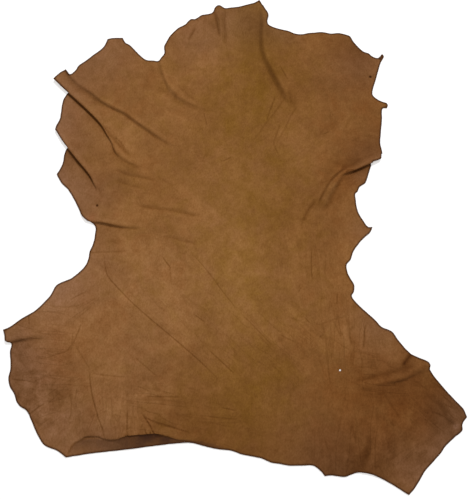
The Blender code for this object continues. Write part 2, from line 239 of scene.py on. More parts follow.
FOLDS = {
    "pleat over the left foreleg": (
        (-292, 256, 3.5, 7, 10, 8), (-284, 250, 4.0, 7, 10, 8), (-258, 229, 4.5, 8, 11, 10),
        (-240, 214, 5.0, 9, 12, 11), (-218, 193, 5.0, 9, 14, 11), (-200, 172, 4.5, 9, 22, 10, 0.95),
        (-191.5, 155.3, 4.5, 9, 30, 8, 0.8), (-183, 137, 4.0, 10, 36, 5.5, 0.45),
        (-179.5, 124.3, 3.5, 12, 42, 3.5), (-166, 106.3, 2.0, 14, 44, 1.5), (-148, 93, 0.0, 16, 46, 0)),
    "bank above that pleat": (
        (-263, 250, 2.0, 6, 24), (-248.5, 236, 3.0, 6, 34), (-227.5, 221, 3.5, 6, 44),
        (-208.5, 205.7, 3.5, 6, 54), (-188, 194.6, 3.5, 7, 60), (-170.3, 185.4, 3.5, 8, 66),
        (-151.7, 171.6, 3.5, 8, 70), (-131.8, 157.4, 3.0, 9, 70), (-111, 143.5, 2.0, 10, 66),
        (-77.5, 125.5, 0.0, 12, 60)),
    "pleat below it": (
        (-283, 167, 3.0, 7, 14, 6), (-276, 159, 3.5, 7, 14, 6), (-252.5, 131.2, 5.5, 8, 16, 8, 0.85),
        (-234.5, 110.2, 6.0, 8, 18, 9), (-215.3, 84, 5.0, 8, 18, 7), (-209.4, 65.6, 3.5, 7, 16, 4),
        (-207, 54, 0.0, 7, 14, 0)),
    "roll across the left waist": (
        (-236, 7, 2.5, 7, 16, 2), (-223, 10, 3.5, 7, 16, 2), (-212, 8.5, 4.5, 7, 18, 3),
        (-196, 7.3, 4.2, 8, 20, 3), (-177, 3.3, 3.5, 9, 22, 2), (-150, -1, 2.0, 12, 24),
        (-120, -6, 0.0, 14, 24)),
    "ridge right of the neck's trough": (
        (51.5, 372, 3.0, 8, 18), (52.2, 345, 4.0, 8, 25), (51, 312, 4.5, 8, 32), (54, 291, 5.0, 9, 38),
        (67.3, 257.5, 5.5, 10, 40), (78, 236, 5.5, 10, 38), (88, 217, 4.0, 11, 38),
        (102, 200, 0.0, 13, 34)),
    "bank left of the neck": (
        (-117, 284, 2.5, 8, 26), (-113, 262, 3.5, 8, 28), (-107, 243, 4.0, 8, 30), (-91, 221, 3.5, 8, 32),
        (-70, 204, 2.5, 9, 34), (-44, 194, 0.0, 10, 34)),
    "pucker in the neck": (
        (-21, 386, 2.5, 8, 9), (-20, 368, 2.5, 8, 9), (-19, 345, 2.0, 9, 10), (-17, 310, 0.0, 10, 10)),
    "roll out to the right foreleg": (
        (170, 80, 0.0, 6, 8), (178, 86, 2.5, 6, 9, 2.5), (184, 90, 4.5, 7, 10, 5),
        (191, 95, 5.5, 8, 11, 7, 0.9), (203, 101, 6.0, 8, 12, 7, 0.65), (217, 107, 6.0, 8, 12, 7, 0.42),
        (231, 113, 5.0, 8, 12, 6, 0.35)),
    "ridge down from that roll": (
        (183, 92, 1.5, 6, 9), (175, 85, 4.0, 6, 9), (167, 75, 4.5, 7.5, 9), (159, 65, 4.5, 9, 9),
        (152, 55, 4.0, 9, 9), (147, 45, 3.5, 8.5, 9), (142, 35, 2.0, 7.5, 9), (136, 24, 0.0, 7, 9)),
    "ridge along the left hind leg": (
        (-352, -178, 3.8, 9, 18, 2), (-337, -175, 4.2, 9, 18, 2), (-324, -173, 4.4, 10, 18, 2),
        (-308, -169.5, 4.4, 10, 20, 2), (-296, -168, 4.0, 10, 22, 1), (-280, -167, 2.8, 11, 22),
        (-256, -165, 0.0, 10, 24)),
    "slope down to the rump's edge": (
        (-232, -336, 1.0, 8, 14), (-214, -312, 3.0, 18, 26), (-196, -306, 4.5, 24, 34),
        (-178, -308, 4.5, 23, 40), (-158, -308, 5.0, 22, 44), (-136, -305, 5.5, 22, 46),
        (-113, -302, 5.5, 22, 46), (-92, -303, 4.5, 20, 40), (-72, -310, 2.5, 14, 34),
        (-50, -317, 0.0, 10, 28)),
    "lip above that slope": (
        (-224, -318, 0.0, 5, 10, 0), (-210, -309, 1.5, 5, 10, 1.5), (-198, -306.5, 2.0, 5, 10, 2.6, 0.8),
        (-187, -307, 2.0, 5, 10, 3, 0.6), (-176, -310.5, 2.0, 5, 10, 3, 0.6),
        (-166, -310.5, 2.0, 5, 10, 3.2, 0.7), (-152, -306, 2.3, 5, 10, 3.6, 0.6),
        (-140, -304, 2.5, 5, 11, 4, 0.8), (-128, -302.5, 2.6, 5, 11, 4.5, 0.8),
        (-113, -301, 2.8, 5, 12, 5, 0.7), (-101, -302.5, 2.4, 5, 11, 4, 0.6), (-88, -307, 1.4, 6, 10, 2.5),
        (-66, -317, 0.0, 7, 10, 0)),
    "ridge across the right hind leg": (
        (180, -244, 0.0, 10, 10), (203.5, -240, 2.0, 10, 10), (226.7, -234.3, 3.0, 9, 9),
        (250.8, -227.6, 3.5, 9, 10, 1), (272.7, -216.2, 3.0, 12, 10), (296, -206, 2.0, 12, 10)),
    "fold down to the right of the rump": (
        (211, -290, 0.0, 11, 26), (207, -312, 2.5, 11, 30), (201, -330, 3.0, 11, 32),
        (190, -358, 1.5, 11, 32), (184, -374, 0.5, 11, 32)),
    "curl along the right hind leg's end": (
        (291, -249, 0.0, 12, 12), (300, -258, 1.0, 12, 12), (308, -267, 2.0, 12, 12),
        (315, -280, 2.5, 12, 11), (323, -291, 2.5, 12, 10), (332, -304, 2.0, 12, 10)),
}
folds = [table(Station, stations) for stations in FOLDS.values()]
print("Folds:", len(folds), "- the highest rises", max(s.rise for fold in folds for s in fold), "mm")

# %% [markdown]
# ## The shape of one fold
#
# For every point of the flat cut we need three things: its distance from the crest, on which side it is,
# and the station values nearest to it. From those come a lift, which fades out smoothly down both sides,
# and a sideways push. On the front the push holds on for the first part and then turns under, so that the
# leather bulges out before it drops, as a real pleat does.
#
# A fold changes the colour as well. The hidden front, and the line under a crest that hangs over, get no
# light, so they are painted with shade. Just behind a high crest a pale streak is painted as a highlight.
# So each fold also says how much painted shade and painted highlight it gives each point.

# %% Fold helper
LINE_STEP = 3.0
HANG_FROM = 0.2         # the push holds on over this share of the front
BULGE = 1.1             # a fold that hangs over bulges out by this many of those shares
EASING = 6              # rounds of smoothing for the values along a crest
OVER_FROM = 0.5         # lean as a share of the front, where a crest begins to hang over
OVER_WITHIN = 0.3       # and how much more it takes until it hangs over fully
FRONT_DARK = 0.14       # painted shade of the hidden front, for each millimetre of lean
UNDER_DARK = 0.95       # painted shadow on the line under a crest that hangs over
UNDER_GAP = 1.2         # that line's middle lies this far beyond the bulge
UNDER_REACH = 3.4       # and it fades out within this distance
STREAK_GAP = 2.2        # the painted highlight's middle lies this far behind the crest
STREAK_REACH = 4.5
STREAK_HEIGHT = 4.0     # a crest this high gets the full painted highlight
STREAK_PLAIN = 0.65
STREAK_OVER = 0.45      # more where it hangs over


def fade(share):
    """1 at 0, falling smoothly to 0 at 1."""
    return 0.5 + 0.5 * np.cos(math.pi * share)


def mound(away, reach=1.0):
    """1 where the distance is 0, falling smoothly to 0 at the reach, and 0 beyond it."""
    return fade(np.clip(abs(away) / reach, 0.0, 1.0))


def nearest_on(line, points):
    """For each point: signed distance from the line, the direction to its right, and the place along it."""
    run = line[1:] - line[:-1]
    offset = points[:, None, :] - line[:-1]
    share = np.clip((offset * run).sum(2) / (run * run).sum(1), 0.0, 1.0)
    gap = offset - share[..., None] * run
    distance = np.hypot(gap[..., 0], gap[..., 1])
    piece = distance.argmin(1)
    pick = np.arange(len(points))
    right = rightwards(run[piece])
    side = (gap[pick, piece] * right).sum(1)
    signed = np.where(side < 0, -1.0, 1.0) * distance[pick, piece]
    return signed, right, piece + share[pick, piece]


def close_to(line, points, reach):
    """Which points lie within the line's box, grown by the reach on all sides."""
    low, high = line.min(0) - reach, line.max(0) + reach
    return np.flatnonzero(((points > low) & (points < high)).all(1))


def knots_on(line, stations):
    """The place along the line that each station comes nearest to."""
    return [int(np.hypot(*(line - station[:2]).T).argmin()) for station in stations]


class Crest:
    """One fold: its crest as a fine line, and the station values carried smoothly along it."""

    def __init__(self, stations):
        self.line = curve_through([s[:2] for s in stations], LINE_STEP)
        self.places = np.arange(len(self.line))
        knots = knots_on(self.line, stations)
        columns = [np.interp(self.places, knots, column) for column in zip(*[s[2:] for s in stations])]
        self.values = np.column_stack([self.eased(column) for column in columns])
        self.reach = max(self.values[:, 1:3].max(), (self.values[:, 1] + self.values[:, 3]).max())

    @staticmethod
    def eased(column):
        """The column with its corners rounded, and its ends kept."""
        for _ in range(EASING):
            column[1:-1] = (column[:-2] + 2 * column[1:-1] + column[2:]) / 4
        return column

    @staticmethod
    def hang(lean, front):
        """How far from the crest the outermost part of a fold that hangs over comes to lie."""
        return lean + BULGE * HANG_FROM * front

    def push(self, points):
        """How far each point moves sideways and up, and how much painted shade and painted highlight the
        fold gives it.
        """
        signed, right, place = nearest_on(self.line, points)
        rise, front, back, lean, shade = [np.interp(place, self.places, column) for column in self.values.T]
        share = np.clip(np.where(signed > 0, signed / front, -signed / back), 0.0, 1.0)
        late = np.clip((share - HANG_FROM) / (1 - 2 * HANG_FROM), 0.0, 1.0)
        push = lean * fade(np.where(signed > 0, late, share))
        over = np.clip((lean / front - OVER_FROM) / OVER_WITHIN, 0.0, 1.0)
        below = signed - self.hang(lean, front) - UNDER_GAP
        under = UNDER_DARK * (shade * over) * mound(below, UNDER_REACH)
        tucked = np.where(signed > 0, FRONT_DARK * shade * lean * fade(abs(2 * share - 1)), 0.0)
        streak = (STREAK_PLAIN + STREAK_OVER * over) * np.clip(rise / STREAK_HEIGHT, 0.0, 1.0)
        streak *= mound(signed + STREAK_GAP, STREAK_REACH)
        return right * push[:, None], rise * fade(share), np.maximum(tucked, under), streak


crests = [Crest(stations) for stations in folds]
print("Crest lines:", sum(len(crest.line) for crest in crests), "places in all")

# %% [markdown]
# ## Creases and troughs
#
# A hide travels folded or rolled, and every fold leaves a mark: a fine groove with slightly raised
# shoulders, a few tenths of a millimetre deep. Where the leather is slack it also sinks into troughs, which
# are wider, deeper and softer, and run beside the big folds. Both are listed in one table. Each has its
# depth, its half width, how dark its line is painted, for pressed nap and for shade in the groove, and the
# points that it passes.

# %% Crease table
class Crease(NamedTuple):
    depth: float
    half_width: float
    dark: float
    line: tuple


CREASES = {
    "fold mark, left flank to spine": (0.40, 1.5, 0.60, (
        (-197, -34), (-194, -50), (-192, -65), (-187, -80), (-173, -96), (-150, -119), (-121, -144),
        (-83, -175), (-42, -210), (-12, -239))),
    "fold mark, middle of the back": (0.30, 1.5, 0.42, ((-62, -43), (-36, -73), (-15, -101), (10, -133))),
    "left thigh, down": (0.42, 1.5, 0.68, (
        (-207, -214), (-207, -222), (-204, -243), (-199, -263), (-192, -283), (-183, -301), (-174, -318))),
    "left thigh, across": (0.26, 1.6, 0.36, ((-207, -222), (-188, -226), (-149, -229))),
    "left thigh, back up": (0.26, 1.6, 0.34, ((-231, -182), (-222, -196), (-214, -207), (-205, -221))),
    "left knee": (0.35, 1.6, 0.50, ((-223, -149), (-226, -160), (-230, -171), (-235, -185))),
    "left knee, beside it": (0.30, 1.6, 0.42, (
        (-235, -160), (-235, -170), (-236, -182), (-242, -191), (-256, -196), (-276, -203))),
    "rump, long of the pair": (0.40, 1.6, 0.70, (
        (-130, -279), (-126, -282), (-117, -288), (-102, -293), (-88, -297), (-66, -304), (-58, -306))),
    "rump, short of the pair": (0.45, 1.5, 0.9, ((-128, -280), (-120, -290), (-113, -297), (-102, -310))),
    "rump, level": (0.22, 1.5, 0.5, ((-125, -256), (-71, -257))),
    "rump, upright": (0.30, 1.5, 0.7, ((-150, -274), (-149, -289), (-148, -308))),
    "rump, across the spine": (0.20, 1.6, 0.34, ((-41, -283), (-18, -286), (7, -288))),
    "rump, beside the spine": (0.22, 1.5, 0.5, ((-13, -272), (7, -276))),
    "left loin": (0.25, 1.6, 0.40, ((-142, -200), (-118, -220), (-106, -229))),
    "beside the spine, low": (0.25, 1.5, 0.50, ((-33, -190), (-12, -209), (5, -225))),
    "small pinch in the loin": (0.25, 1.5, 0.40, ((-136, -242), (-118, -249))),
    "back, short": (0.38, 1.5, 0.68, ((-106, -49), (-104, -52), (-100, -58), (-95, -64), (-92, -69))),
    "back, short, below it": (0.25, 1.5, 0.35, ((-94, -66), (-92, -78), (-91, -90))),
    "flank, level": (0.30, 2.0, 0.35, ((-224, -44), (-216, -44), (-200, -43), (-187, -43), (-160, -41))),
    "withers, slanting": (0.20, 1.6, 0.18, ((-77, 205), (-51, 191))),
    "withers, upright": (0.22, 1.5, 0.5, ((-45, 186), (-40, 163))),
    "spine, short": (0.22, 1.4, 0.5, ((-57, -137), (-38, -150))),
    "right loin, upright": (0.30, 1.6, 0.62, ((122, -36), (121, -72), (122, -87))),
    "right loin, second": (0.22, 1.4, 0.5, ((104, -92), (100, -100))),
    "right flank, upright": (0.14, 2.4, 0.10, ((140, -20), (143, -52), (141, -88))),
    "back, mark beyond the spine": (0.22, 1.5, 0.4, ((10, -133), (30, -152), (62, -186))),
    "right loin, short": (0.22, 1.4, 0.5, ((105, -96), (100, -105))),
    "right hip, short": (0.28, 1.4, 0.6, ((159, -105), (157, -124))),
    "right hip, slanting": (0.28, 2.4, 0.22, ((79, -140), (108, -151), (119, -162), (141, -177))),
    "right hip, beside it": (0.26, 1.8, 0.34, ((69, -166), (82, -173), (97, -180))),
    "right thigh, long": (0.24, 2.0, 0.28, ((140, -162), (140, -199), (145, -245))),
    "right thigh, slanting": (0.24, 1.7, 0.28, ((151, -147), (164, -177))),
    "right thigh, upright": (0.26, 1.8, 0.16, ((175, -143), (176, -192))),
    "right thigh, outer": (0.45, 2.0, 0.66, ((200, -152), (197, -163), (196, -175), (194, -190))),
    "right thigh, level": (0.20, 2.0, 0.22, (
        (111, -154), (132, -152), (151, -146), (171, -140), (182, -137))),
    "right thigh, low": (0.22, 1.7, 0.28, ((144, -171), (158, -180), (168, -187), (176, -190))),
    "right thigh, to the hock": (0.22, 2.4, 0.20, ((177, -192), (190, -194), (200, -196), (210, -200))),
    "right hip, curl": (0.25, 1.5, 0.45, ((109, -142), (115, -149), (121, -153))),
    "beside the spine, right": (0.20, 1.5, 0.30, ((40, -168), (57, -186))),
    "neck, long mark": (0.30, 2.2, 0.32, (
        (94, 228), (91, 222), (86, 212), (76, 196), (65, 181), (57, 172), (47, 155), (36, 141), (32, 136))),
    "neck, fork of that mark": (0.30, 2.0, 0.45, ((70, 216), (68, 208), (62, 191), (55, 169))),
    "neck, second mark": (0.30, 2.2, 0.34, ((108, 201), (104, 195), (92, 175), (85, 158), (73, 138))),
    "neck, fork of the second": (0.28, 2.0, 0.36, (
        (77, 168), (76, 162), (72, 150), (67, 134), (70, 123), (76, 112))),
    "neck, beside the ridge": (0.35, 2.0, 0.5, ((78, 266), (83, 256), (91, 240))),
    "neck, beyond the ridge": (0.70, 4.0, 0.42, ((92, 222), (94, 212), (97, 200))),
    "right shoulder, short": (0.22, 1.5, 0.5, ((143, 148), (157, 154))),
    "back, small mark": (0.22, 1.5, 0.4, ((-15, 103), (1, 111))),
    "left hind leg, first": (0.30, 1.6, 0.42, ((-242, -116), (-221, -104))),
    "left hind leg, second": (0.25, 1.6, 0.28, ((-272, -125), (-248, -127), (-227, -124))),
    "left hind leg, third": (0.22, 1.6, 0.28, ((-276, -133), (-250, -136))),
    "left hind leg, upright": (0.30, 1.5, 0.6, ((-303, -138), (-300, -154))),
    "left shank, level": (0.32, 1.8, 0.40, ((-322, -232), (-301, -234), (-288, -236))),
    "left shank, rising": (0.42, 1.8, 0.62, ((-292, -283), (-279, -272), (-268, -265))),
    "left shank, second rising": (0.20, 1.6, 0.25, ((-279, -300), (-258, -284))),
    "left shank, short": (0.28, 1.6, 0.42, ((-224, -245), (-226, -261))),
    "left shank, long": (0.28, 1.6, 0.34, ((-234, -252), (-230, -275), (-234, -292))),
    "left shank, inner": (0.15, 1.8, 0.10, ((-211, -250), (-218, -278), (-217, -303))),
    "beside the upper pleat": (0.45, 2.0, 0.6, ((-182, 146), (-173, 136), (-167, 124))),
    "end of the upper pleat": (0.50, 3.0, 0.40, ((-182, 118), (-177, 112), (-167, 102), (-149, 94))),
    "right hind leg, pinch": (1.00, 5.0, 1.00, ((270, -191), (263, -198), (256, -206), (250, -214))),
    "right hind leg, below the pinch": (0.60, 7.0, 0.25, ((254, -206), (252, -215), (250, -226))),
    "right hind leg, long": (0.32, 2.6, 0.24, (
        (219, -248), (222, -254), (231, -268), (239, -282), (246, -294))),
    "right hind leg, foot": (0.18, 2.0, 0.16, ((263, -317), (269, -343))),
    "right foreleg, edge of the roll": (0.50, 2.2, 0.10, (
        (226, 103), (219, 100), (206, 94), (194, 88), (186, 83), (176, 79))),
    "right foreleg, round the roll's end": (0.50, 1.6, 0.60, ((177, 82), (178, 86), (182, 90), (188, 91))),
    "groove behind the ridge": (1.10, 2.6, 0.66, (
        (186, 96), (180, 94), (172.4, 88.4), (162.6, 79), (153, 68.5), (146, 57.5), (141.2, 48.2),
        (136.5, 38), (132, 28.6))),
    "groove before the ridge": (0.90, 5.0, 0.42, (
        (178, 84), (172, 74), (168, 66), (163, 56), (158, 47), (153, 35), (147, 29), (139, 19))),
    "groove at the ridge's end": (1.00, 4.2, 0.62, ((132, 42), (127, 34), (119, 24), (113, 12), (111, 4))),
    "groove below that end": (0.70, 5.0, 0.26, ((112, 12), (109, 3), (109, -8))),
    "shade above the ridge": (0.30, 11.0, 0.22, (
        (192, 112), (176, 104), (161, 95), (149, 78), (139, 60), (131, 46))),
    "lip, left end": (0.60, 2.4, 0.62, (
        (-233, -338), (-229, -330), (-223, -321), (-216, -318), (-207, -313), (-199, -312), (-192, -314))),
    "lip, middle": (0.30, 1.8, 0.10, (
        (-197, -312), (-187, -312), (-176, -315), (-167, -315.5), (-159, -314), (-151, -310.5))),
    "lip, right end": (0.60, 2.2, 0.80, (
        (-158, -314), (-151, -310.5), (-141, -308.5), (-131, -307.5), (-119, -306.5), (-105, -306.5),
        (-93, -310.5), (-83, -314), (-66, -318), (-50, -321))),
    "lip, its dark hollow": (0.50, 6.0, 0.80, (
        (-134, -313), (-122, -313), (-112, -312), (-102, -311), (-92, -314))),
    "tick above the lip": (0.30, 1.4, 0.90, ((-124, -297), (-122, -300), (-118, -305), (-116, -308))),
    "second tick above the lip": (0.30, 1.4, 0.90, ((-115, -297), (-115, -300), (-114, -308))),
    "trough above the roll": (1.20, 6.0, 0.45, ((204, 110), (196, 105), (185, 98), (177, 93), (172, 89))),
    "trough behind the upper pleat": (1.20, 4.2, 0.27, (
        (-277, 261), (-266, 248), (-252, 234), (-230.2, 218.2), (-211.5, 202.7), (-191, 191),
        (-173.2, 181.8), (-154.7, 167.6), (-134.8, 153.4), (-114.8, 139.5), (-87.5, 123.6))),
    "edge of the trough behind the pleat": (0.50, 1.9, 0.24, (
        (-272, 255), (-265, 246.5), (-251.5, 233.5), (-230.2, 218.2), (-211.5, 202.7), (-191, 191),
        (-173.2, 181.8))),
    "trough, shoulder blade, upper": (1.00, 3.6, 0.42, (
        (-184.5, 90.5), (-176.5, 86.6), (-160.5, 79.8), (-144.5, 77), (-127, 73.4), (-118, 72.5))),
    "trough, shoulder blade, its end": (0.50, 4.5, 0.25, ((-118, 80), (-113, 76), (-97, 66), (-90, 62))),
    "trough, shoulder blade, lower": (0.60, 4.0, 0.25, ((-180, 71), (-167, 66), (-150, 61), (-140, 58))),
    "trough by the upper pleat": (0.90, 5.0, 0.55, (
        (-200, 168), (-192, 157), (-175, 131), (-164, 118), (-156, 108))),
    "trough below the upper pleat": (0.80, 5.5, 0.42, (
        (-190, 134), (-185, 118), (-177, 109), (-167, 103), (-151, 94), (-142, 90))),
    "trough, end of the lower pleat": (0.25, 3.0, 0.10, ((-208, 60), (-206, 55), (-204, 47), (-203, 41))),
    "trough, waist, upper": (1.20, 4.5, 0.45, (
        (-152, 36), (-140, 30), (-128, 27), (-112, 25), (-95, 23), (-75, 19), (-57, 15), (-44, 11))),
    "trough, waist, lower": (1.00, 3.4, 0.34, (
        (-211, 4), (-199, 2), (-188, -2), (-178, -4), (-169, -5), (-157, -6), (-138, -7))),
    "trough, waist, third": (0.70, 3.5, 0.34, (
        (-106, -17), (-101, -19), (-87, -21), (-76, -25), (-62, -28), (-54, -30))),
    "trough in the neck": (1.20, 8.0, 0.30, (
        (49, 366), (49, 357), (49, 334), (48, 309), (50, 292), (55, 275), (64, 254), (74, 232), (83, 214),
        (95, 201))),
    "trough, neck, left of the pucker": (0.90, 3.6, 0.55, (
        (-30, 374), (-29, 363), (-26, 349), (-23, 335), (-20, 318))),
    "trough, neck, right of the pucker": (0.70, 6.5, 0.32, (
        (-15, 366), (-15, 353), (-13, 330), (-11, 305))),
    "trough, neck, slanting": (0.90, 3.5, 0.58, ((-60, 340), (-63, 334), (-68, 323), (-73, 314))),
    "trough, left hind leg": (0.40, 6.0, 0.04, (
        (-330, -179), (-310, -176), (-294, -174), (-277, -172), (-264, -171))),
    "trough, left of the neck": (0.60, 6.0, 0.20, (
        (-136, 282), (-134, 275), (-127, 248), (-118, 228), (-100, 216), (-78, 204), (-57, 193),
        (-26, 188))),
    "trough, left of the neck, second": (0.35, 3.0, 0.30, (
        (-90, 234), (-86, 230), (-74, 219), (-63, 209), (-58, 205))),
    "trough, left of the neck, third": (0.38, 3.0, 0.25, (
        (-116, 258), (-114, 254), (-109, 240), (-104, 223), (-102, 216))),
    "trough, right hock, upper": (1.00, 5.0, 0.40, (
        (173, -237), (190, -232), (216, -226), (245, -219), (264, -212))),
    "trough, right hock, lower": (0.40, 3.4, 0.00, (
        (204, -243), (217, -241), (231, -238), (243, -236), (254, -233), (264, -229), (272, -225))),
    "trough, right shank": (1.00, 6.0, 0.34, (
        (199, -306), (196, -319), (193, -331), (188, -345), (182, -358))),
    "trough by the right foot": (0.80, 6.0, 0.34, (
        (297, -262), (303, -271), (309, -285), (317, -296), (322, -303))),
}
creases = table(Crease, CREASES.values())
crease_lines = [curve_through(crease.line, LINE_STEP) for crease in creases]
crease_length = sum(np.hypot(*np.diff(line, axis=0).T).sum() for line in crease_lines)
print("Creases:", len(creases), "-", round(crease_length), "mm in all")

# %% [markdown]
# ## Swells, crumple and wrinkles
#
# Between the folds the sheet still rises and falls a little. Broad swells, no more than 3 mm high, carry
# the slack of the shoulders, waist and thighs. On top of them comes crumple: faint waves a few centimetres
# long, which are stronger in the legs than along the back. Wrinkles are finer and run in families, one
# direction each: upright in the neck and the right thigh, slanting on the shoulders, level at the waist.
# Nothing is pushed below the table, so wherever the waves would go down, the leather simply lies flat. One
# small hole goes right through the right thigh. Two more small holes are only shallow pits, filled with
# painted shade.

# %% Swells, crumple, wrinkles, pits and a hole
class Swell(NamedTuple):
    x: float
    y: float
    rise: float
    half_length: float
    half_width: float
    turned: float


SWELLS = table(Swell, (
    (-150, 240, 2.5, 110, 45, -50), (120, 250, 2.5, 130, 60, 10), (-110, -180, 2.0, 120, 60, -40),
    (150, -150, 2.0, 90, 50, -60), (240, -310, 3.0, 90, 45, 35), (-270, -240, 2.5, 70, 40, 70),
    (-110, 20, 1.6, 100, 50, -10), (-160, 80, 1.4, 80, 40, -15), (225, -232, 1.6, 80, 35, 15),
    (-20, 350, 1.4, 60, 45, 90), (160, 70, 1.8, 70, 35, 45), (300, -275, 1.2, 50, 30, -45)))


class Patch(NamedTuple):
    x: float
    y: float
    radius: float
    amount: float


class Family(NamedTuple):
    turned: float
    patches: tuple


CRUMPLED = table(Patch, (
    (-260, -250, 90, 1.2), (250, -300, 110, 0.9), (160, -180, 80, 0.6), (-120, -270, 80, 0.7)))
WRINKLES = {
    "upright": Family(91, table(Patch, (
        (-10, 345, 45, 0.8), (-50, 250, 45, 0.5), (30, 230, 45, 0.4), (165, -175, 50, 1.3),
        (185, -320, 60, 0.9), (60, -250, 50, 0.5), (-165, -280, 40, 1.0), (-225, -275, 30, 0.8),
        (110, -60, 60, 0.7), (-200, -140, 40, 0.4)))),
    "falling": Family(-42, table(Patch, (
        (-150, 170, 60, 0.4), (-110, -130, 80, 0.5), (-290, -200, 50, 0.6), (70, -170, 60, 0.8),
        (-60, 60, 60, 0.2), (-230, 190, 40, 0.3), (300, -270, 40, 0.8), (-20, -180, 60, 0.4)))),
    "rising": Family(36, table(Patch, (
        (130, 110, 60, 0.5), (-270, -270, 50, 0.9), (190, 60, 40, 0.5), (250, -330, 50, 0.5),
        (-225, -130, 40, 0.9), (150, 210, 60, 0.3), (30, 160, 60, 0.3), (-180, -250, 40, 0.4)))),
    "level": Family(-8, table(Patch, (
        (-110, 15, 60, 0.3), (-160, 75, 40, 0.2), (-110, -275, 50, 1.0), (-290, -150, 50, 1.1),
        (220, -230, 50, 0.9), (0, -300, 50, 0.5), (-250, -230, 50, 0.8), (210, 140, 40, 0.4)))),
}
WRINKLE_RISE = 0.8
WRINKLE_LONG = 60.0
WRINKLE_WIDE = 10.0
WRINKLE_LIFT = 0.2      # the waves rise a little more than they fall
CRUMPLE_EVERYWHERE = 0.35
CRUMPLE_WAVES = ((1.5, 62.0, 21.0), (0.7, 21.0, 34.0))


class Hole(NamedTuple):
    x: float
    y: float
    radius: float


HOLES = (Hole(159, -219, 1.5),)
PITS = (Hole(226, 249, 1.6), Hole(-209, 31, 1.5))


def turned_by(points, degrees):
    """Coordinates along and across a direction."""
    turned = math.radians(degrees)
    along = points[:, 0] * math.cos(turned) + points[:, 1] * math.sin(turned)
    across = points[:, 1] * math.cos(turned) - points[:, 0] * math.sin(turned)
    return along, across


def swell_rise(swell, points):
    """The height of a broad mound under each point."""
    along, across = turned_by(points - swell[:2], swell.turned)
    return swell.rise * mound(np.hypot(along / swell.half_length, across / swell.half_width))


def spread(patches, points):
    """The sum of soft round patches under each point."""
    total = np.zeros(len(points))
    for patch in patches:
        away = np.hypot(points[:, 0] - patch.x, points[:, 1] - patch.y) / patch.radius
        total += patch.amount * np.exp(-away * away)
    return total


def crumple(points):
    """Faint waves that only ever rise, in millimetres."""
    strength = CRUMPLE_EVERYWHERE + spread(CRUMPLED, points)
    return np.maximum(0.0, strength * layered(CRUMPLE_WAVES, points))


def wrinkle(family, points, seed):
    """Long thin waves along one direction, in millimetres."""
    along, across = turned_by(points, family.turned)
    stretched = np.column_stack([along / WRINKLE_LONG, across / WRINKLE_WIDE])
    waves = np.array([wave(p, 1.0, seed) for p in stretched])
    return WRINKLE_RISE * spread(family.patches, points) * (waves + WRINKLE_LIFT)


# %% [markdown]
# ## Points for the mesh
#
# A sheet bends only where its mesh has points. An even field 3.4 mm apart carries the gentle waves. Along
# each crest we lay rows close together down the steep front and more under the part that hangs over, and
# along each crease a row on the line and two on each side. Where two sets meet, the finer one wins, so no
# two points crowd each other.

# %% Rows along folds and creases
FIELD_STEP = 3.4
FRONT_ROWS = 10
BACK_ROWS = (0.0, 1.2, 2.6, 4.4, 6.6, 9.2)
UNDER_ROWS = (0.2, 1.2, 2.3, 3.6)
UNDER_ROWS_FROM = 0.6   # lean as a share of the front, where the rows under a crest begin
CREASE_ROWS = (-1.1, -0.55, 0.0, 0.55, 1.1)

fold_rows = []
for crest in crests:
    right = rightwards(np.gradient(crest.line, axis=0))
    front, lean = crest.values[:, 1:2], crest.values[:, 3:4]
    hangs = lean[:, 0] > UNDER_ROWS_FROM * front[:, 0]
    fold_rows += [crest.line + right * front * i / FRONT_ROWS for i in range(1, FRONT_ROWS + 1)]
    fold_rows += [crest.line - right * gap for gap in BACK_ROWS]
    fold_rows += [(crest.line + right * (crest.hang(lean, front) + gap))[hangs] for gap in UNDER_ROWS]
crease_rows = []
for crease, line in zip(creases, crease_lines):
    right = rightwards(np.gradient(line, axis=0))
    crease_rows += [line + right * crease.half_width * share for share in CREASE_ROWS]
fold_rows, crease_rows = np.vstack(fold_rows), np.vstack(crease_rows)
print("Row points:", len(fold_rows), "on folds and", len(crease_rows), "on creases")

# %% [markdown]
# ### The field, and thinning
#
# Rows from two creases can land on top of each other, and such a crowd makes sliver triangles that catch
# the light. So the points are thinned: each stays only if no earlier one is too near, and the folds come
# first because they matter most. The even field then fills what is left, in rows set off by half a step,
# which gives triangles of equal sides. A tree from mathutils finds the nearest point quickly.

# %% The field, and thinning
def tree_of(points):
    """A tree that finds the nearest of these points quickly."""
    tree = kdtree.KDTree(len(points))
    for i, point in enumerate(points):
        tree.insert((point[0], point[1], 0.0), i)
    tree.balance()
    return tree


def gaps_to(points, tree):
    """Each point's distance from the nearest point of the tree."""
    return np.array([tree.find((point[0], point[1], 0.0))[2] for point in points])


def thinned(points, gap):
    """The points, without any that lies closer than the gap to an earlier one."""
    cells, kept = {}, []
    for point in points:
        column, row = int(point[0] // gap), int(point[1] // gap)
        near = [q for i in (-1, 0, 1) for j in (-1, 0, 1) for q in cells.get((column + i, row + j), ())]
        if all(math.hypot(point[0] - q[0], point[1] - q[1]) >= gap for q in near):
            cells.setdefault((column, row), []).append(point)
            kept.append(point)
    return np.array(kept)


def inside(points, loop):
    """True where a point lies within the loop, worked out a few thousand at a time."""
    ends = np.roll(loop, -1, axis=0)
    drop = np.where(ends[:, 1] == loop[:, 1], 1.0, ends[:, 1] - loop[:, 1])
    result = []
    for part in np.array_split(points, max(1, len(points) // 3000)):
        x, y = part[:, :1], part[:, 1:]
        crosses = (loop[:, 1] > y) != (ends[:, 1] > y)
        hit = loop[:, 0] + (y - loop[:, 1]) * (ends[:, 0] - loop[:, 0]) / drop
        result.append((crosses & (x < hit)).sum(1) % 2 == 1)
    return np.concatenate(result)


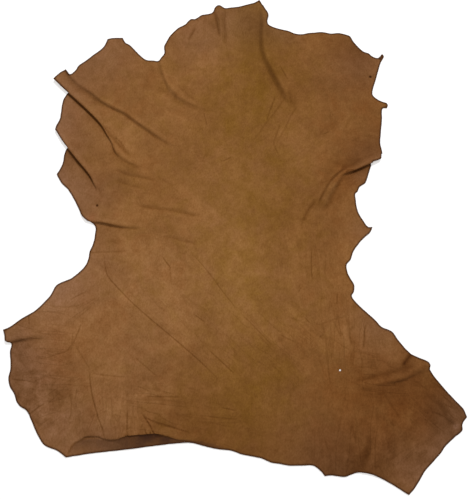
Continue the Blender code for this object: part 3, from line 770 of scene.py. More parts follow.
field = []
low, high = edge_loop.min(0), edge_loop.max(0)
for row, y in enumerate(np.arange(low[1], high[1], FIELD_STEP * math.sqrt(3) / 2)):
    field += [(x, y) for x in np.arange(low[0] + (row % 2) * FIELD_STEP / 2, high[0], FIELD_STEP)]
field = np.array(field)

PIT_REACH = 1.7         # a pit's slope ends at this multiple of its radius
RING_POINTS = 12
CLOSEST = 0.72          # no two detail points come nearer to each other than this
DETAIL_TO_EDGE = 1.3
DETAIL_TO_HOLE = 3.0
FIELD_TO_DETAIL = 2.6
FIELD_TO_EDGE = 2.4
FIELD_TO_HOLE = 3.2
SAME_PLACE = 0.01

turns = np.arange(RING_POINTS) * math.tau / RING_POINTS
circle = np.column_stack([np.cos(turns), np.sin(turns)])
rings = [hole[:2] + hole.radius * circle for hole in HOLES + PITS]
rings = np.vstack(rings + [pit[:2] + PIT_REACH * pit.radius * circle for pit in PITS])
edge_tree = tree_of(edge_loop)
hole_tree = tree_of([hole[:2] for hole in HOLES + PITS])
detail = thinned(np.vstack([rings, fold_rows]), CLOSEST)
detail = thinned(np.vstack([detail, crease_rows]), CLOSEST)
detail = detail[gaps_to(detail, edge_tree) > DETAIL_TO_EDGE]
detail = detail[inside(detail, edge_loop)]
on_ring = gaps_to(detail, tree_of(rings)) < SAME_PLACE
detail = detail[(gaps_to(detail, hole_tree) > DETAIL_TO_HOLE) | on_ring]
detail = np.vstack([detail, [pit[:2] for pit in PITS]])
field = field[gaps_to(field, tree_of(detail)) > FIELD_TO_DETAIL]
field = field[gaps_to(field, edge_tree) > FIELD_TO_EDGE]
field = field[gaps_to(field, hole_tree) > FIELD_TO_HOLE]
field = field[inside(field, edge_loop)]
print("Points:", len(edge_loop), "edge,", len(detail), "detail,", len(field), "field")

# %% [markdown]
# ## From points to a flat cut
#
# Blender can join loose points into triangles as evenly as possible, which is called a Delaunay
# triangulation. It fills the whole hull of the points, so we keep only the triangles whose middle lies
# within the cut edge and outside the little holes. This is the hide as it would lie pressed flat.

# %% Triangulate the flat cut
HOLE_SHARE = 0.96       # a little less than the ring, whose straight sides cut the circle short

flat = np.vstack([edge_loop, detail, field])
around = [list(range(len(edge_loop)))]
found = delaunay_2d_cdt([Vector(point) for point in flat], [], around, 1, 0.0001, False)
corners = np.array([tuple(point) for point in found[0]])
faces = np.array(found[2])
middles = corners[faces].mean(1)
keep = inside(middles, edge_loop)
for hole in HOLES:
    keep &= np.hypot(*(middles - hole[:2]).T) > hole.radius * HOLE_SHARE
faces = faces[keep]
sides = corners[faces]
turn = np.cross(sides[:, 1] - sides[:, 0], sides[:, 2] - sides[:, 0])
flat_area = abs(turn).sum() / 2 * MM * MM
print("Flat cut:", len(corners), "points,", len(faces), "triangles,", round(flat_area, 4), "square metres")

# %% [markdown]
# ## Laying the hide on the table
#
# Now every point of the flat cut is moved to where it lies. The folds push and lift, the swells, crumple
# and wrinkles lift, and the creases press down. What we shape is the upper face, one leather thickness
# above the table. While we are there we also note two things that the material will ask for. One is
# painted shade and wear: deep in a crease, in a trough, in a pit, on the hidden front of a fold and under a
# crest that hangs over, the suede is drawn darker, for nap pressed into the creases and for the shade that
# falls there. The other is painted highlight: on high crests and on the shoulders of fine creases it is
# drawn lighter.

# %% Shape the upper face
THICKNESS = 1.2
DEEPEST = -0.75         # nothing is pressed down further than this
SHOULDER = 0.22         # height of a crease's raised shoulder, as a share of its depth
SHOULDER_AT = 1.4       # its middle, in half widths from the line
SHOULDER_REACH = 1.1
CREASE_REACH = 2.6      # no point further off than this many half widths is touched
END_FADE = 0.15         # a crease fades out over this share of its length
LINE_DARK = 0.8         # how dark the darkest crease line is painted: pressed nap and painted shade
CREST_LIGHT = 0.17      # how much lighter a crest is painted, as a highlight
SHOULDER_LIGHT = 0.09   # and a crease's raised shoulder, also a painted highlight
MOST_HIGHLIGHT = 1.5       # where crests and shoulders add up, no more than this many crests' worth
TROUGH_FROM = 3.0       # from this half width on it is a trough, and its banks get no painted highlight
PIT_DEPTH = 0.7

# Two layers for the material: painted shade, with the pressed nap of creases, and painted highlight.
sideways = np.zeros((len(corners), 2))
lift, groove, worn, painted_highlight = np.zeros((4, len(corners)))
for crest in crests:
    near = close_to(crest.line, corners, crest.reach)
    push, rise, dark, streak = crest.push(corners[near])
    sideways[near] += push
    lift[near] += rise
    worn[near] = np.maximum(worn[near], dark)
    painted_highlight[near] = np.maximum(painted_highlight[near], CREST_LIGHT * streak)
for swell in SWELLS:
    lift += swell_rise(swell, corners)
lift += crumple(corners)
for seed, family in enumerate(WRINKLES.values()):
    lift += wrinkle(family, corners, 50.0 + seed)

for crease, line in zip(creases, crease_lines):
    near = close_to(line, corners, crease.half_width * CREASE_REACH)
    signed, _, place = nearest_on(line, corners[near])
    from_end = np.minimum(place, len(line) - 1 - place) / (len(line) - 1)
    strength = np.clip(from_end / END_FADE, 0.0, 1.0)
    across = abs(signed) / crease.half_width
    dip = mound(across)
    bank = mound(across - SHOULDER_AT, SHOULDER_REACH)
    groove[near] += crease.depth * strength * (SHOULDER * bank - dip)
    worn[near] = np.maximum(worn[near], LINE_DARK * strength * dip * crease.dark)
    if crease.half_width < TROUGH_FROM:
        painted_highlight[near] += SHOULDER_LIGHT * strength * bank * crease.dark * (across > 1.0)
# A pit is painted fully dark, as the shade inside a small hole.
for pit in PITS:
    away = np.hypot(*(corners - pit[:2]).T) / pit.radius
    sunk = np.clip((PIT_REACH - away) / (PIT_REACH - 1.0), 0.0, 1.0)
    groove -= PIT_DEPTH * sunk
    worn = np.maximum(worn, sunk)
height = THICKNESS + np.maximum(lift + groove, DEEPEST)
print("Upper face: from", round(height.min(), 2), "to", round(height.max(), 2), "mm above the table")

# %% [markdown]
# ### Making the sheet
#
# The points and triangles now become a mesh, and the millimetres become metres. What we noted for each
# point is stored on the mesh as a layer with a name, which a material can read like a painted map. One
# more layer tells how near the cut edge a point is, because the suede is drawn darker within a few
# millimetres of it.

# %% Make the sheet
def float_layer(name, values):
    """Store one number for each point of the sheet."""
    layer = mesh.attributes.new(name, "FLOAT", "POINT")
    layer.data.foreach_set("value", np.asarray(values, dtype=np.float32))


RIM_REACH = 7.0
mesh = bpy.data.meshes.new("suede hide")
placed = np.column_stack([corners + sideways, height]) * MM
mesh.from_pydata(placed.tolist(), [], faces.tolist())
hide = bpy.data.objects.new("suede_hide", mesh)
bpy.context.scene.collection.objects.link(hide)
float_layer("worn", np.clip(worn, 0.0, 1.0))
float_layer("rim", np.clip(1.0 - gaps_to(corners, edge_tree) / RIM_REACH, 0.0, 1.0))
for name, family in WRINKLES.items():
    float_layer("wrinkles " + name, spread(family.patches, corners))
print("Sheet:", len(mesh.vertices), "points,", len(mesh.polygons), "faces")

# %% [markdown]
# ## Broad tones
#
# Dye never takes evenly on a whole skin. The belly and the legs are looser and drink more of it, so they
# turn out darker and redder, and the back stays lighter. Tables of soft patches record this, each patch by
# its middle, its radius and its amount, and where patches overlap they add up. One table says lighter or
# darker, one redder or more olive, one greyer, for the thin edges where the nap is worn, and one more
# blotched. The lighter or darker table is partly painted light as well: it darkens the hide towards the
# lower right and the bottom as painted falloff of the light, and a few small patches are painted
# highlights and shade beside folds. The painted crest highlights are added to it. Below the lip on the
# rump's left side the leather slopes down to the edge, away from the lamp, and painted shade of a dark
# violet brown runs along it: sharp at the lip and softer downwards.

# %% Tone patches
# Lighter or darker: uneven dye, and painted light too, darker towards the lower right and bottom as painted
# falloff, with small painted highlights and shade beside folds.
LIGHTER = table(Patch, (
    (-140, -100, 110, 0.22), (-110, 50, 90, 0.04), (0, -100, 120, 0.24), (20, 50, 100, 0.12),
    (-275, -110, 55, 0.32), (-140, 190, 80, 0.12), (-50, 290, 50, 0.16), (20, 240, 40, 0.04),
    (-190, -240, 50, 0.06), (-110, -150, 40, 0.06), (-220, 290, 50, 0.04), (-108, -50, 35, 0.14),
    (150, 250, 35, 0.12), (210, -200, 30, 0.10), (-180, 140, 30, 0.08), (-216, 11, 8, 0.12),
    (170, -310, 90, -0.14), (312, -275, 60, -0.36), (240, -235, 50, -0.20), (180, -255, 60, -0.10),
    (160, -365, 50, -0.40), (208, -350, 35, -0.12), (80, -355, 60, -0.20), (20, -320, 60, -0.16),
    (-60, -285, 45, -0.16), (205, 305, 50, -0.30), (210, 240, 40, -0.12), (150, 195, 35, -0.08),
    (90, 250, 50, -0.16), (60, 350, 60, -0.08), (-20, 360, 40, -0.04), (-265, 240, 35, -0.14),
    (230, 130, 45, -0.32), (160, 92, 26, -0.14), (100, -8, 52, -0.18), (-270, 100, 40, -0.10),
    (-165, -150, 35, -0.08), (-105, -10, 40, -0.06), (-257, -260, 11, -0.24), (-311, -215, 12, -0.14),
    (-299, -261, 12, -0.12), (-316, -233, 12, -0.14), (-300, -160, 30, -0.08), (-182, -27, 5, -0.26),
    (-175, -26, 5, -0.26), (188, -340, 14, -0.05), (-320, -245, 30, -0.16), (-265, 60, 30, 0.14),
    (-268, 195, 25, 0.10), (0, 355, 25, 0.04), (321, -298, 5, 0.8), (-322, -188, 20, -0.16),
    (270, -345, 30, -0.08), (-30, 345, 14, -0.12), (45, 320, 22, -0.08), (-145, -307, 7, -0.26),
    (-127, -303, 8, -0.18), (-108, -303, 8, -0.30), (-286, -181, 9, -0.14), (228, -234, 14, -0.05),
    (258, -211, 9, -0.12), (-176, -307, 12, -0.30), (-151, -306, 10, -0.28), (-203, -309, 9, -0.22),
    (-20, -316, 24, -0.10), (250, 110, 60, -0.06), (-257, -240, 12, -0.16), (-246, -258, 9, -0.22),
    (-286, -250, 14, -0.14), (212, -204, 10, -0.16), (285, -245, 48, -0.15), (252, -218, 26, -0.06),
    (298, -298, 28, -0.04), (240, -345, 42, -0.10), (212, -240, 30, -0.06), (-270, -225, 36, 0.06),
    (-152, -270, 26, 0.12), (-122, -296, 24, -0.20), (-242, -272, 20, 0.06), (-70, -215, 52, -0.14),
    (40, -225, 60, -0.11), (98, -185, 34, -0.08), (50, -245, 26, 0.07), (98, 214, 24, -0.14),
    (60, 205, 18, 0.12), (-120, 236, 24, -0.12), (100, 40, 34, -0.06), (236, 40, 24, 0.10),
    (212, 92, 22, -0.10), (-108, -52, 26, 0.14), (-108, 52, 26, -0.14), (-212, 100, 24, -0.10),
    (-160, 150, 30, 0.12), (35, 345, 30, -0.14), (-55, -300, 26, -0.10), (-300, -178, 26, -0.10),
    (-285, -270, 24, -0.10), (-205, -300, 20, -0.08), (-40, -330, 20, -0.16), (-245, -220, 12, -0.10),
    (-235, -249, 9, -0.12), (-285, -232, 9, -0.10), (-200, -287, 8, -0.12), (-265, -208, 12, 0.08),
    (-295, -243, 9, 0.14), (-271, -253, 8, 0.12), (-265, -279, 10, 0.12), (-217, -269, 9, 0.10),
    (-225, -283, 8, 0.08), (-276, -301, 8, 0.08), (192, 30, 16, 0.10), (-272, 112, 18, -0.12),
    (-272, 72, 12, 0.10), (-240, 190, 14, 0.10), (-210, 136, 16, 0.12), (-212, 72, 14, -0.12),
    (20, -95, 36, 0.08), (-160, -105, 26, 0.08), (-108, -240, 30, 0.08), (104, 100, 30, 0.08),
    (157, 100, 26, -0.10), (157, -125, 30, -0.07), (212, 312, 20, -0.12), (160, 300, 24, -0.08),
    (-55, 200, 28, -0.07), (-262, 200, 18, 0.10), (-161, -200, 30, 0.06), (-214, -30, 24, 0.04),
    (-2, 0, 30, 0.06), (-2, -90, 26, 0.06), (-2, 350, 20, 0.05), (-320, -255, 20, -0.08),
    (318, -300, 16, -0.14), (212, 300, 22, -0.08)))
REDDER = table(Patch, (
    (235, -270, 80, 0.50), (200, 70, 90, 0.2), (200, 240, 90, 0.2), (-280, 180, 60, 0.1),
    (-262, -205, 45, 0.5), (150, -250, 60, 0.25), (150, -350, 50, 0.35), (190, 80, 40, 0.35),
    (-216, 12, 7, 1.0), (20, 60, 80, -0.35), (25, -120, 60, -0.35), (50, 220, 80, -0.5),
    (10, -270, 60, -0.4), (5, -60, 50, -0.3), (25, 350, 45, -0.8), (0, 180, 50, -0.3), (100, 100, 40, -0.2),
    (275, -252, 48, 0.15), (297, -296, 28, 0.20), (62, 350, 44, -0.9), (-190, -150, 34, 0.35),
    (50, -240, 70, -0.40), (70, 0, 60, -0.30), (-330, -175, 30, -0.3), (205, 78, 22, -0.35),
    (192, 30, 20, -0.3), (236, 40, 26, -0.35), (-212, 70, 14, 0.3), (30, 280, 50, -0.35)))
GREYER = table(Patch, (
    (-300, 150, 60, 1.1), (-265, 240, 40, 0.5), (-335, -215, 60, 1.0), (-240, 50, 50, 0.7),
    (-210, 300, 60, 0.6), (-240, -60, 60, 0.5), (-270, -100, 40, 0.4), (-250, -310, 60, 0.5),
    (22, 350, 45, 0.55), (220, 280, 50, 0.7), (210, -10, 30, 0.5), (-150, -200, 90, 0.2),
    (-60, 335, 50, 0.5), (215, -150, 40, 0.5), (235, -355, 50, 0.5), (80, 335, 30, 0.5),
    (235, 110, 40, 0.7), (130, -365, 70, 0.7), (-160, -315, 50, 0.3), (250, -215, 50, 0.3),
    (328, -286, 40, 1.5), (304, -336, 34, 0.9), (268, -364, 36, 0.6), (150, -364, 30, 0.4),
    (-288, -165, 55, 0.2), (-290, -262, 46, 0.3), (-235, -318, 46, 0.15), (-330, -180, 30, 0.2),
    (205, 78, 20, 0.25), (-275, 80, 20, 0.4), (-178, -320, 24, 0.35)))
BLOTCHED = table(Patch, (
    (-275, -250, 60, 1.7), (260, -300, 80, 0.7), (190, -340, 60, 0.5), (-130, -260, 60, 0.8),
    (150, 290, 70, 0.5), (-150, 240, 60, 0.4), (-130, -80, 90, 0.4)))


class Shade(NamedTuple):
    x: float
    y: float
    amount: float
    width: float


UNDER_LIP = table(Shade, (
    (-233, -338, 0.1, 10), (-224, -322, 0.4, 12), (-212, -315, 0.5, 14), (-192, -314, 0.4, 20),
    (-175, -315, 0.6, 26), (-163, -315, 0.75, 28), (-150, -310.5, 0.85, 30), (-130, -307.5, 1.0, 30),
    (-108, -306.5, 1.0, 30), (-95, -310, 1.0, 28), (-77, -314, 0.9, 22), (-57, -316, 0.8, 16),
    (-36, -319, 0.7, 12), (-14, -324, 0.5, 10), (12, -331, 0.0, 8)))
LIP_EDGE = 1.5          # the painted shade begins over this distance
LIP_FADE = 0.25         # and loses this share of itself over its width
LIP_BOX = (-240, 20, -300)      # left, right and top of the part of the rump that it reaches


def under_lip(points):
    """How much painted shade each point gets below the lip."""
    line = curve_through([shade[:2] for shade in UNDER_LIP], LINE_STEP)
    knots = knots_on(line, UNDER_LIP)
    signed, _, place = nearest_on(line, points)
    amount = np.interp(place, knots, [shade.amount for shade in UNDER_LIP])
    width = np.interp(place, knots, [shade.width for shade in UNDER_LIP])
    begun, gone = np.clip(signed / LIP_EDGE, 0.0, 1.0), np.clip(signed / width, 0.0, 1.0)
    return amount * begun * (1 - LIP_FADE * gone)


left, right, top = LIP_BOX
by_lip = (corners[:, 0] > left) & (corners[:, 0] < right) & (corners[:, 1] < top)
shade_below_lip = np.zeros(len(corners))
shade_below_lip[by_lip] = under_lip(corners[by_lip])
# The tone also carries painted light: the falloff and small highlights of LIGHTER, and the painted crest
# highlights.
tone = spread(LIGHTER, corners) + np.minimum(painted_highlight, MOST_HIGHLIGHT * CREST_LIGHT)
float_layer("tone", tone)
float_layer("redness", spread(REDDER, corners))
float_layer("greyness", spread(GREYER, corners))
float_layer("blotches", spread(BLOTCHED, corners))
float_layer("turned under", shade_below_lip)
print("Tone from", round(tone.min(), 2), "to", round(tone.max(), 2))

# %% [markdown]
# ## Thickness
#
# A Solidify modifier gives the sheet its body, downwards from the upper face. It also hands the faces
# below and round the rim to the next two materials. Where a crease is pressed in, the underside would dip
# through the table, so we set those points back on it: the leather is simply thinner there.

# %% Solidify, and rest it on the table
SHARP_FROM = 50         # degrees between two faces, from which their edge stays crisp

bpy.ops.object.select_all(action="DESELECT")
bpy.context.view_layer.objects.active = hide
hide.select_set(True)
for name in ("brushed suede", "flesh side of suede", "knife-cut suede edge"):
    hide.data.materials.append(bpy.data.materials.new(name))
body = hide.modifiers.new("leather", "SOLIDIFY")
body.thickness = THICKNESS * MM
body.offset = -1.0
body.material_offset = 1
body.material_offset_rim = 2
bpy.ops.object.modifier_apply(modifier=body.name)
places = np.empty(len(hide.data.vertices) * 3)
hide.data.vertices.foreach_get("co", places)
places = places.reshape(-1, 3)
places[:, 2] = np.maximum(places[:, 2], 0.0)
hide.data.vertices.foreach_set("co", places.ravel())
hide.data.update()
bpy.ops.object.shade_smooth_by_angle(angle=math.radians(SHARP_FROM))
print("Solid sheet:", len(hide.data.polygons), "triangles, top at", round(places[:, 2].max() / MM, 2), "mm")


# %% [markdown]
# ## Two helpers for materials
#
# Colours are picked as sRGB hex values, the way a dye card gives them, but Blender mixes light in linear
# values, so one function turns the first into the second. Another adds a node, sets its values and joins
# its inputs, which keeps each material short enough to read.

# %% Colour and node helpers
def linear(code):
    """A hex colour as the linear red, green, blue and alpha that a shader wants."""
    shares = [int(code[i:i + 2], 16) / 255 for i in (1, 3, 5)]
    return (*[c / 12.92 if c <= 0.04045 else ((c + 0.055) / 1.055) ** 2.4 for c in shares], 1.0)


def add_node(tree, kind, settings=None, inputs=None):
    """Add a node. An input is a value, or the output socket of another node to link it to."""
    node = tree.nodes.new(kind)
    for name, value in (settings or {}).items():
        setattr(node, name, value)
    for name, value in (inputs or {}).items():
        if isinstance(value, bpy.types.NodeSocket):
            tree.links.new(value, node.inputs[name])
        else:
            node.inputs[name].default_value = value
    return node


# %% [markdown]
# ## Brushed suede
#
# Suede is a skin whose surface has been sanded until its fibres stand up as a nap. The nap scatters light,
# so the surface is quite matt, with a faint bright bloom at grazing angles, which is what sheen is for.
# Where a hand has stroked the fibres one way it looks lighter, and the other way darker. We build that from
# noise of several sizes, each with finer detail inside it: cloudy patches about 65 mm wide, uneven dye
# about half as wide, blotches, mottling, and tufts of fibres 2 mm wide. A real fibre is less than half a
# millimetre long and too fine to show from here, so the nap is drawn as these coarser tufts, a little
# longer in the direction in which they were stroked.

# %% Brushed suede, patterns
SUEDE_LIGHT = "#895D31"
SUEDE_DARK = "#68421D"
SUEDE_RED = "#734217"
SUEDE_OLIVE = "#6F4B13"
SUEDE_GREY = "#7A563E"
SUEDE_NEAR_EDGE = "#3A1F0A"
SUEDE_LIP_SHADE = "#3C2418"
STROKED = 80            # the direction of the nap in degrees
TUFT_STRETCH = 1.5      # length of a tuft as a multiple of its width

suede = bpy.data.materials["brushed suede"]
suede.use_nodes = True
tree = suede.node_tree
shader = tree.nodes["Principled BSDF"]
place = add_node(tree, "ShaderNodeTexCoord").outputs["Object"]
stroked = add_node(tree, "ShaderNodeMapping", {"vector_type": "TEXTURE"}, {
    "Vector": place, "Rotation": (0.0, 0.0, math.radians(STROKED)), "Scale": (TUFT_STRETCH, 1.0, 1.0)})
PATTERNS = {
    "clouds": {"Scale": 15.0, "Detail": 5.0, "Roughness": 0.55, "Distortion": 0.4},
    "dye": {"Scale": 34.0, "Detail": 3.0, "Roughness": 0.6, "Distortion": 0.5},
    "blotches": {"Scale": 60.0, "Detail": 4.0, "Roughness": 0.6, "Distortion": 0.3},
    "mottle": {"Scale": 83.0, "Detail": 4.0, "Roughness": 0.6},
    "fibres": {"Scale": 480.0, "Detail": 3.0, "Roughness": 0.75, "Vector": stroked.outputs["Vector"]},
}
patterns = {}
for name, values in PATTERNS.items():
    noise_node = add_node(tree, "ShaderNodeTexNoise", None, {"Vector": place, **values})
    patterns[name] = noise_node.outputs["Fac"]
print("Suede patterns in mm:", {name: round(1 / values["Scale"] / MM) for name, values in PATTERNS.items()})

# %% [markdown]
# ### Brushed suede: the fine wrinkles
#
# The mesh carries the wrinkles that are wider than about 8 mm. The finer ones are drawn here, with one
# noise for each family, stretched along its direction and let through only where the sheet says so. Where
# the noise crosses its middle value we get thin wandering lines, which look like the net of small creases
# in a skin that has been crumpled and smoothed out again. They go into the bump, and into the colour as
# painted shade and light of those small creases.

# %% Brushed suede, fine wrinkles
STRETCH = 7.0
CREASE_NOISE = 62.0
LINE_SHARE = 0.035      # how near its middle value the noise counts as a line
WAVE_SHARE = 0.9        # how much of the plain wave stays beside the line

nets = []
for name, family in WRINKLES.items():
    along = add_node(tree, "ShaderNodeMapping", {"vector_type": "TEXTURE"}, {
        "Vector": place, "Rotation": (0.0, 0.0, math.radians(family.turned)), "Scale": (STRETCH, 1.0, 1.0)})
    waves = add_node(tree, "ShaderNodeTexNoise", None, {
        "Vector": along.outputs["Vector"], "Scale": CREASE_NOISE,
        "Detail": 2.0, "Roughness": 0.5, "Distortion": 0.6})
    centred = add_node(tree, "ShaderNodeMath", {"operation": "SUBTRACT"}, {0: waves.outputs["Fac"], 1: 0.5})
    from_line = add_node(tree, "ShaderNodeMath", {"operation": "ABSOLUTE"}, {0: centred.outputs[0]})
    line = add_node(tree, "ShaderNodeMapRange", {"interpolation_type": "SMOOTHSTEP"}, {
        "Value": from_line.outputs[0], "From Max": LINE_SHARE, "To Min": -0.35, "To Max": 0.05})
    both = add_node(tree, "ShaderNodeMath", {"operation": "MULTIPLY_ADD"}, {
        0: centred.outputs[0], 1: WAVE_SHARE, 2: line.outputs["Result"]})
    here = add_node(tree, "ShaderNodeAttribute", {"attribute_name": "wrinkles " + name})
    nets.append(add_node(tree, "ShaderNodeMath", {"operation": "MULTIPLY"}, {
        0: both.outputs[0], 1: here.outputs["Fac"]}))
net = nets[0]
for other in nets[1:]:
    net = add_node(tree, "ShaderNodeMath", {"operation": "ADD"}, {0: net.outputs[0], 1: other.outputs[0]})
print("Fine wrinkles:", len(nets), "families")

# %% [markdown]
# ### Brushed suede: the colour
#
# One number says how light each place is, and a dark place is drawn not only darker but also richer,
# and a light place dustier. The number starts from the tone with its painted light, the blotches and the
# fine wrinkles, and the mottling, the tufts and the painted shade and wear of creases, folds and pits
# multiply it. Its red, green and blue shares follow that number with powers below, at and above one,
# which gives the shift in colour for free. The dye itself is uneven too, so the base colour is first mixed
# between dark and light brown and then drawn towards red, olive or grey. Last come the painted shade below
# the lip, and the darkening near the cut edge.

# %% Brushed suede, colour
NET_STRENGTH = 0.45
CREASE_DARK = -0.82     # what a place of full painted shade and wear loses of its light
GREY_MOST = 0.7
DYE_POWERS = (0.78, 1.0, 1.60)

layers = {}
for name in ("redness", "greyness", "blotches", "tone", "worn", "turned under", "rim"):
    layers[name] = add_node(tree, "ShaderNodeAttribute", {"attribute_name": name}).outputs["Fac"]
# Each row: a value, the range that is used of it, and the range that it is stretched to.
STRETCHED = {
    "clouds": (patterns["clouds"], 0.3, 0.7, 0.2, 0.8),
    "dye": (patterns["dye"], 0.3, 0.7, -0.36, 0.36),
    "mottle": (patterns["mottle"], 0.3, 0.7, 0.88, 1.12),
    "fibres": (patterns["fibres"], 0.3, 0.7, 0.80, 1.20),
    "streaks": (patterns["blotches"], 0.35, 0.65, 0.62, 0.98),
    "edge": (layers["rim"], 0.55, 0.78, 0.0, 0.8),
}
stretched = {}
for name, (value, low, high, to_low, to_high) in STRETCHED.items():
    stretched[name] = add_node(tree, "ShaderNodeMapRange", None, {
        "Value": value, "From Min": low, "From Max": high, "To Min": to_low, "To Max": to_high}).outputs[0]

dye = add_node(tree, "ShaderNodeMath", {"operation": "ADD"}, {0: layers["redness"], 1: stretched["dye"]})
redder = add_node(tree, "ShaderNodeMapRange", None, {"Value": dye.outputs[0], "To Max": 0.75})
greener = add_node(tree, "ShaderNodeMapRange", None, {
    "Value": dye.outputs[0], "From Min": -1.0, "From Max": 0.0, "To Min": 0.8, "To Max": 0.0})
greyer = add_node(tree, "ShaderNodeMath", {"operation": "MULTIPLY"}, {0: layers["greyness"], 1: GREY_MOST})
colour = add_node(tree, "ShaderNodeMix", {"data_type": "RGBA"}, {
    0: stretched["clouds"], 6: linear(SUEDE_DARK), 7: linear(SUEDE_LIGHT)})
for share, code in ((redder, SUEDE_RED), (greener, SUEDE_OLIVE), (greyer, SUEDE_GREY)):
    colour = add_node(tree, "ShaderNodeMix", {"data_type": "RGBA"}, {
        0: share.outputs[0], 6: colour.outputs[2], 7: linear(code)})

blotched = add_node(tree, "ShaderNodeMath", {"operation": "SUBTRACT"}, {0: patterns["blotches"], 1: 0.5})
toned = add_node(tree, "ShaderNodeMath", {"operation": "ADD"}, {0: layers["tone"], 1: 1.0})
toned = add_node(tree, "ShaderNodeMath", {"operation": "MULTIPLY_ADD"}, {
    0: blotched.outputs[0], 1: layers["blotches"], 2: toned.outputs[0]})
light = add_node(tree, "ShaderNodeMath", {"operation": "MULTIPLY_ADD"}, {
    0: net.outputs[0], 1: NET_STRENGTH, 2: toned.outputs[0]})
# Painted shade of creases, troughs, fold fronts and pits, with the pressed nap of creases.
creased = add_node(tree, "ShaderNodeMath", {"operation": "MULTIPLY_ADD"}, {
    0: layers["worn"], 1: CREASE_DARK, 2: 1.0})
for share in (stretched["mottle"], stretched["fibres"], creased.outputs[0]):
    light = add_node(tree, "ShaderNodeMath", {"operation": "MULTIPLY"}, {0: light.outputs[0], 1: share})
shares = add_node(tree, "ShaderNodeCombineXYZ")
for channel, power in zip("XYZ", DYE_POWERS):
    share = add_node(tree, "ShaderNodeMath", {"operation": "POWER"}, {0: light.outputs[0], 1: power})
    tree.links.new(share.outputs[0], shares.inputs[channel])
colour = add_node(tree, "ShaderNodeVectorMath", {"operation": "MULTIPLY"}, {
    0: colour.outputs[2], 1: shares.outputs["Vector"]})

# Painted shade on the slope below the lip.
below_lip = add_node(tree, "ShaderNodeMath", {"operation": "MULTIPLY"}, {
    0: layers["turned under"], 1: stretched["streaks"]})
colour = add_node(tree, "ShaderNodeMix", {"data_type": "RGBA"}, {
    0: below_lip.outputs[0], 6: colour.outputs[0], 7: linear(SUEDE_LIP_SHADE)})
# The suede is drawn darker near the cut edge.
colour = add_node(tree, "ShaderNodeMix", {"data_type": "RGBA"}, {
    0: stretched["edge"], 6: colour.outputs[2], 7: linear(SUEDE_NEAR_EDGE)})
tree.links.new(colour.outputs[2], shader.inputs["Base Color"])
print("Suede colour:", len(layers), "layers from the sheet and", len(patterns), "patterns")

# %% [markdown]
# ### Brushed suede: the surface
#
# A nap has no gloss: its roughness is close to one and it hardly mirrors anything. A trace of warm sheen
# gives the bloom. Three bumps lie on top of each other: the tufts, the mottling, where the nap lies flatter
# or higher, and the fine wrinkles. They are a little deeper than real ones, because the lamp is soft.

# %% Brushed suede, surface
shader.inputs["Roughness"].default_value = 0.93
shader.inputs["Specular IOR Level"].default_value = 0.12
shader.inputs["Sheen Weight"].default_value = 0.06
shader.inputs["Sheen Roughness"].default_value = 0.45
shader.inputs["Sheen Tint"].default_value = linear("#C99A6B")
grain = add_node(tree, "ShaderNodeBump", None, {
    "Height": patterns["fibres"], "Strength": 0.35, "Distance": 0.5 * MM})
soft = add_node(tree, "ShaderNodeBump", None, {
    "Height": patterns["mottle"], "Strength": 0.35, "Distance": 1.4 * MM, "Normal": grain.outputs[0]})
pressed = add_node(tree, "ShaderNodeBump", None, {
    "Height": net.outputs[0], "Strength": 0.55, "Distance": 1.2 * MM, "Normal": soft.outputs[0]})
tree.links.new(pressed.outputs["Normal"], shader.inputs["Normal"])
print("Suede material:", len(tree.nodes), "nodes")

# %% [markdown]
# ## The other two faces of the leather
#
# Turned over, the skin shows its other side, which is less brushed: the same dye, a little paler, with a
# coarser and flatter nap. The knife leaves a raw edge where the fibres are cut across, and it is drawn as
# the darkest part. Both need only a colour, a fine noise and a bump.

# %% Flesh side and cut edge
def plain_leather(name, dark, light, scale, roughness, bump):
    """A simple dyed leather: two close colours mixed by fine noise, with a bump from the same noise."""
    material = bpy.data.materials[name]
    material.use_nodes = True
    tree = material.node_tree
    shader = tree.nodes["Principled BSDF"]
    place = add_node(tree, "ShaderNodeTexCoord").outputs["Object"]
    fine = add_node(tree, "ShaderNodeTexNoise", None, {
        "Vector": place, "Scale": scale, "Detail": 6.0, "Roughness": 0.65})
    dyed = add_node(tree, "ShaderNodeMix", {"data_type": "RGBA"}, {
        0: fine.outputs["Fac"], 6: linear(dark), 7: linear(light)})
    relief = add_node(tree, "ShaderNodeBump", None, {
        "Height": fine.outputs["Fac"], "Strength": 0.4, "Distance": bump * MM})
    tree.links.new(dyed.outputs[2], shader.inputs["Base Color"])
    tree.links.new(relief.outputs["Normal"], shader.inputs["Normal"])
    shader.inputs["Roughness"].default_value = roughness
    shader.inputs["Specular IOR Level"].default_value = 0.3


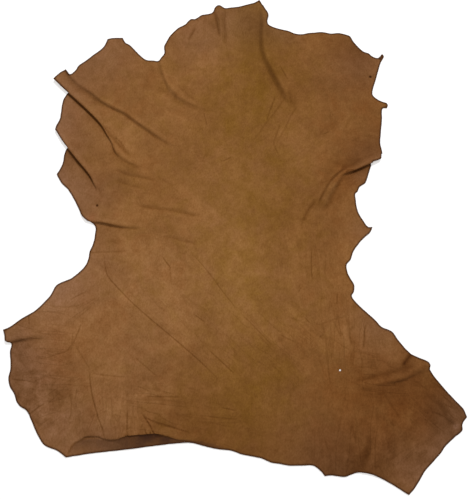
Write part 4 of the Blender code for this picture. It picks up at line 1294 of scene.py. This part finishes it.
plain_leather("flesh side of suede", "#6A4626", "#8F6740", scale=260.0, roughness=0.95, bump=0.6)
plain_leather("knife-cut suede edge", "#3B2210", "#5A3719", scale=900.0, roughness=0.95, bump=0.3)
print("Materials:", [material.name for material in hide.data.materials])

# %% [markdown]
# ## Table and light
#
# The hide lies on a pale table whose top is matt opal acrylic, lit a little from within, so that shadows on
# it stay faint. One soft lamp stands beyond the neck, to the right and well up, so the folds throw short
# shadows down to the left, and a wide weak lamp and a pale surrounding fill those in.

# %% Floor, lights and surroundings
bpy.ops.mesh.primitive_plane_add(size=8.0, location=(0.0, 0.0, -0.2 * MM))
floor = bpy.context.object
floor.name = "table_top"
opal = bpy.data.materials.new("matt opal acrylic, lit from within")
opal.use_nodes = True
glow = opal.node_tree.nodes["Principled BSDF"].inputs
glow["Base Color"].default_value = linear("#D2D3D4")
glow["Roughness"].default_value = 0.8
glow["Emission Color"].default_value = linear("#FFFFFF")
glow["Emission Strength"].default_value = 0.40
floor.data.materials.append(opal)


def lamp(name, place, size, power, colour):
    """A square soft lamp that points at the middle of the hide."""
    data = bpy.data.lights.new(name, "AREA")
    data.size = size
    data.energy = power
    data.color = linear(colour)[:3]
    thing = bpy.data.objects.new(name, data)
    bpy.context.scene.collection.objects.link(thing)
    thing.location = place
    thing.rotation_euler = (-Vector(place)).to_track_quat("-Z", "Y").to_euler()


lamp("window, top right", (0.8, 2.2, 2.9), 0.6, 88.0, "#F8FAFF")
lamp("ceiling", (-0.6, -0.6, 2.2), 1.6, 14.0, "#FFFFFF")
world = bpy.data.worlds.new("pale room")
world.use_nodes = True
world.node_tree.nodes["Background"].inputs["Color"].default_value = linear("#FFF9F0")
world.node_tree.nodes["Background"].inputs["Strength"].default_value = 0.44
bpy.context.scene.world = world
bpy.context.scene.view_settings.view_transform = "Standard"
print("Table, two lamps and", world.name)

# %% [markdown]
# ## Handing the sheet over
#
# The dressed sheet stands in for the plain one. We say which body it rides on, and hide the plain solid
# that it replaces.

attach(hide, "root")
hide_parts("hide")
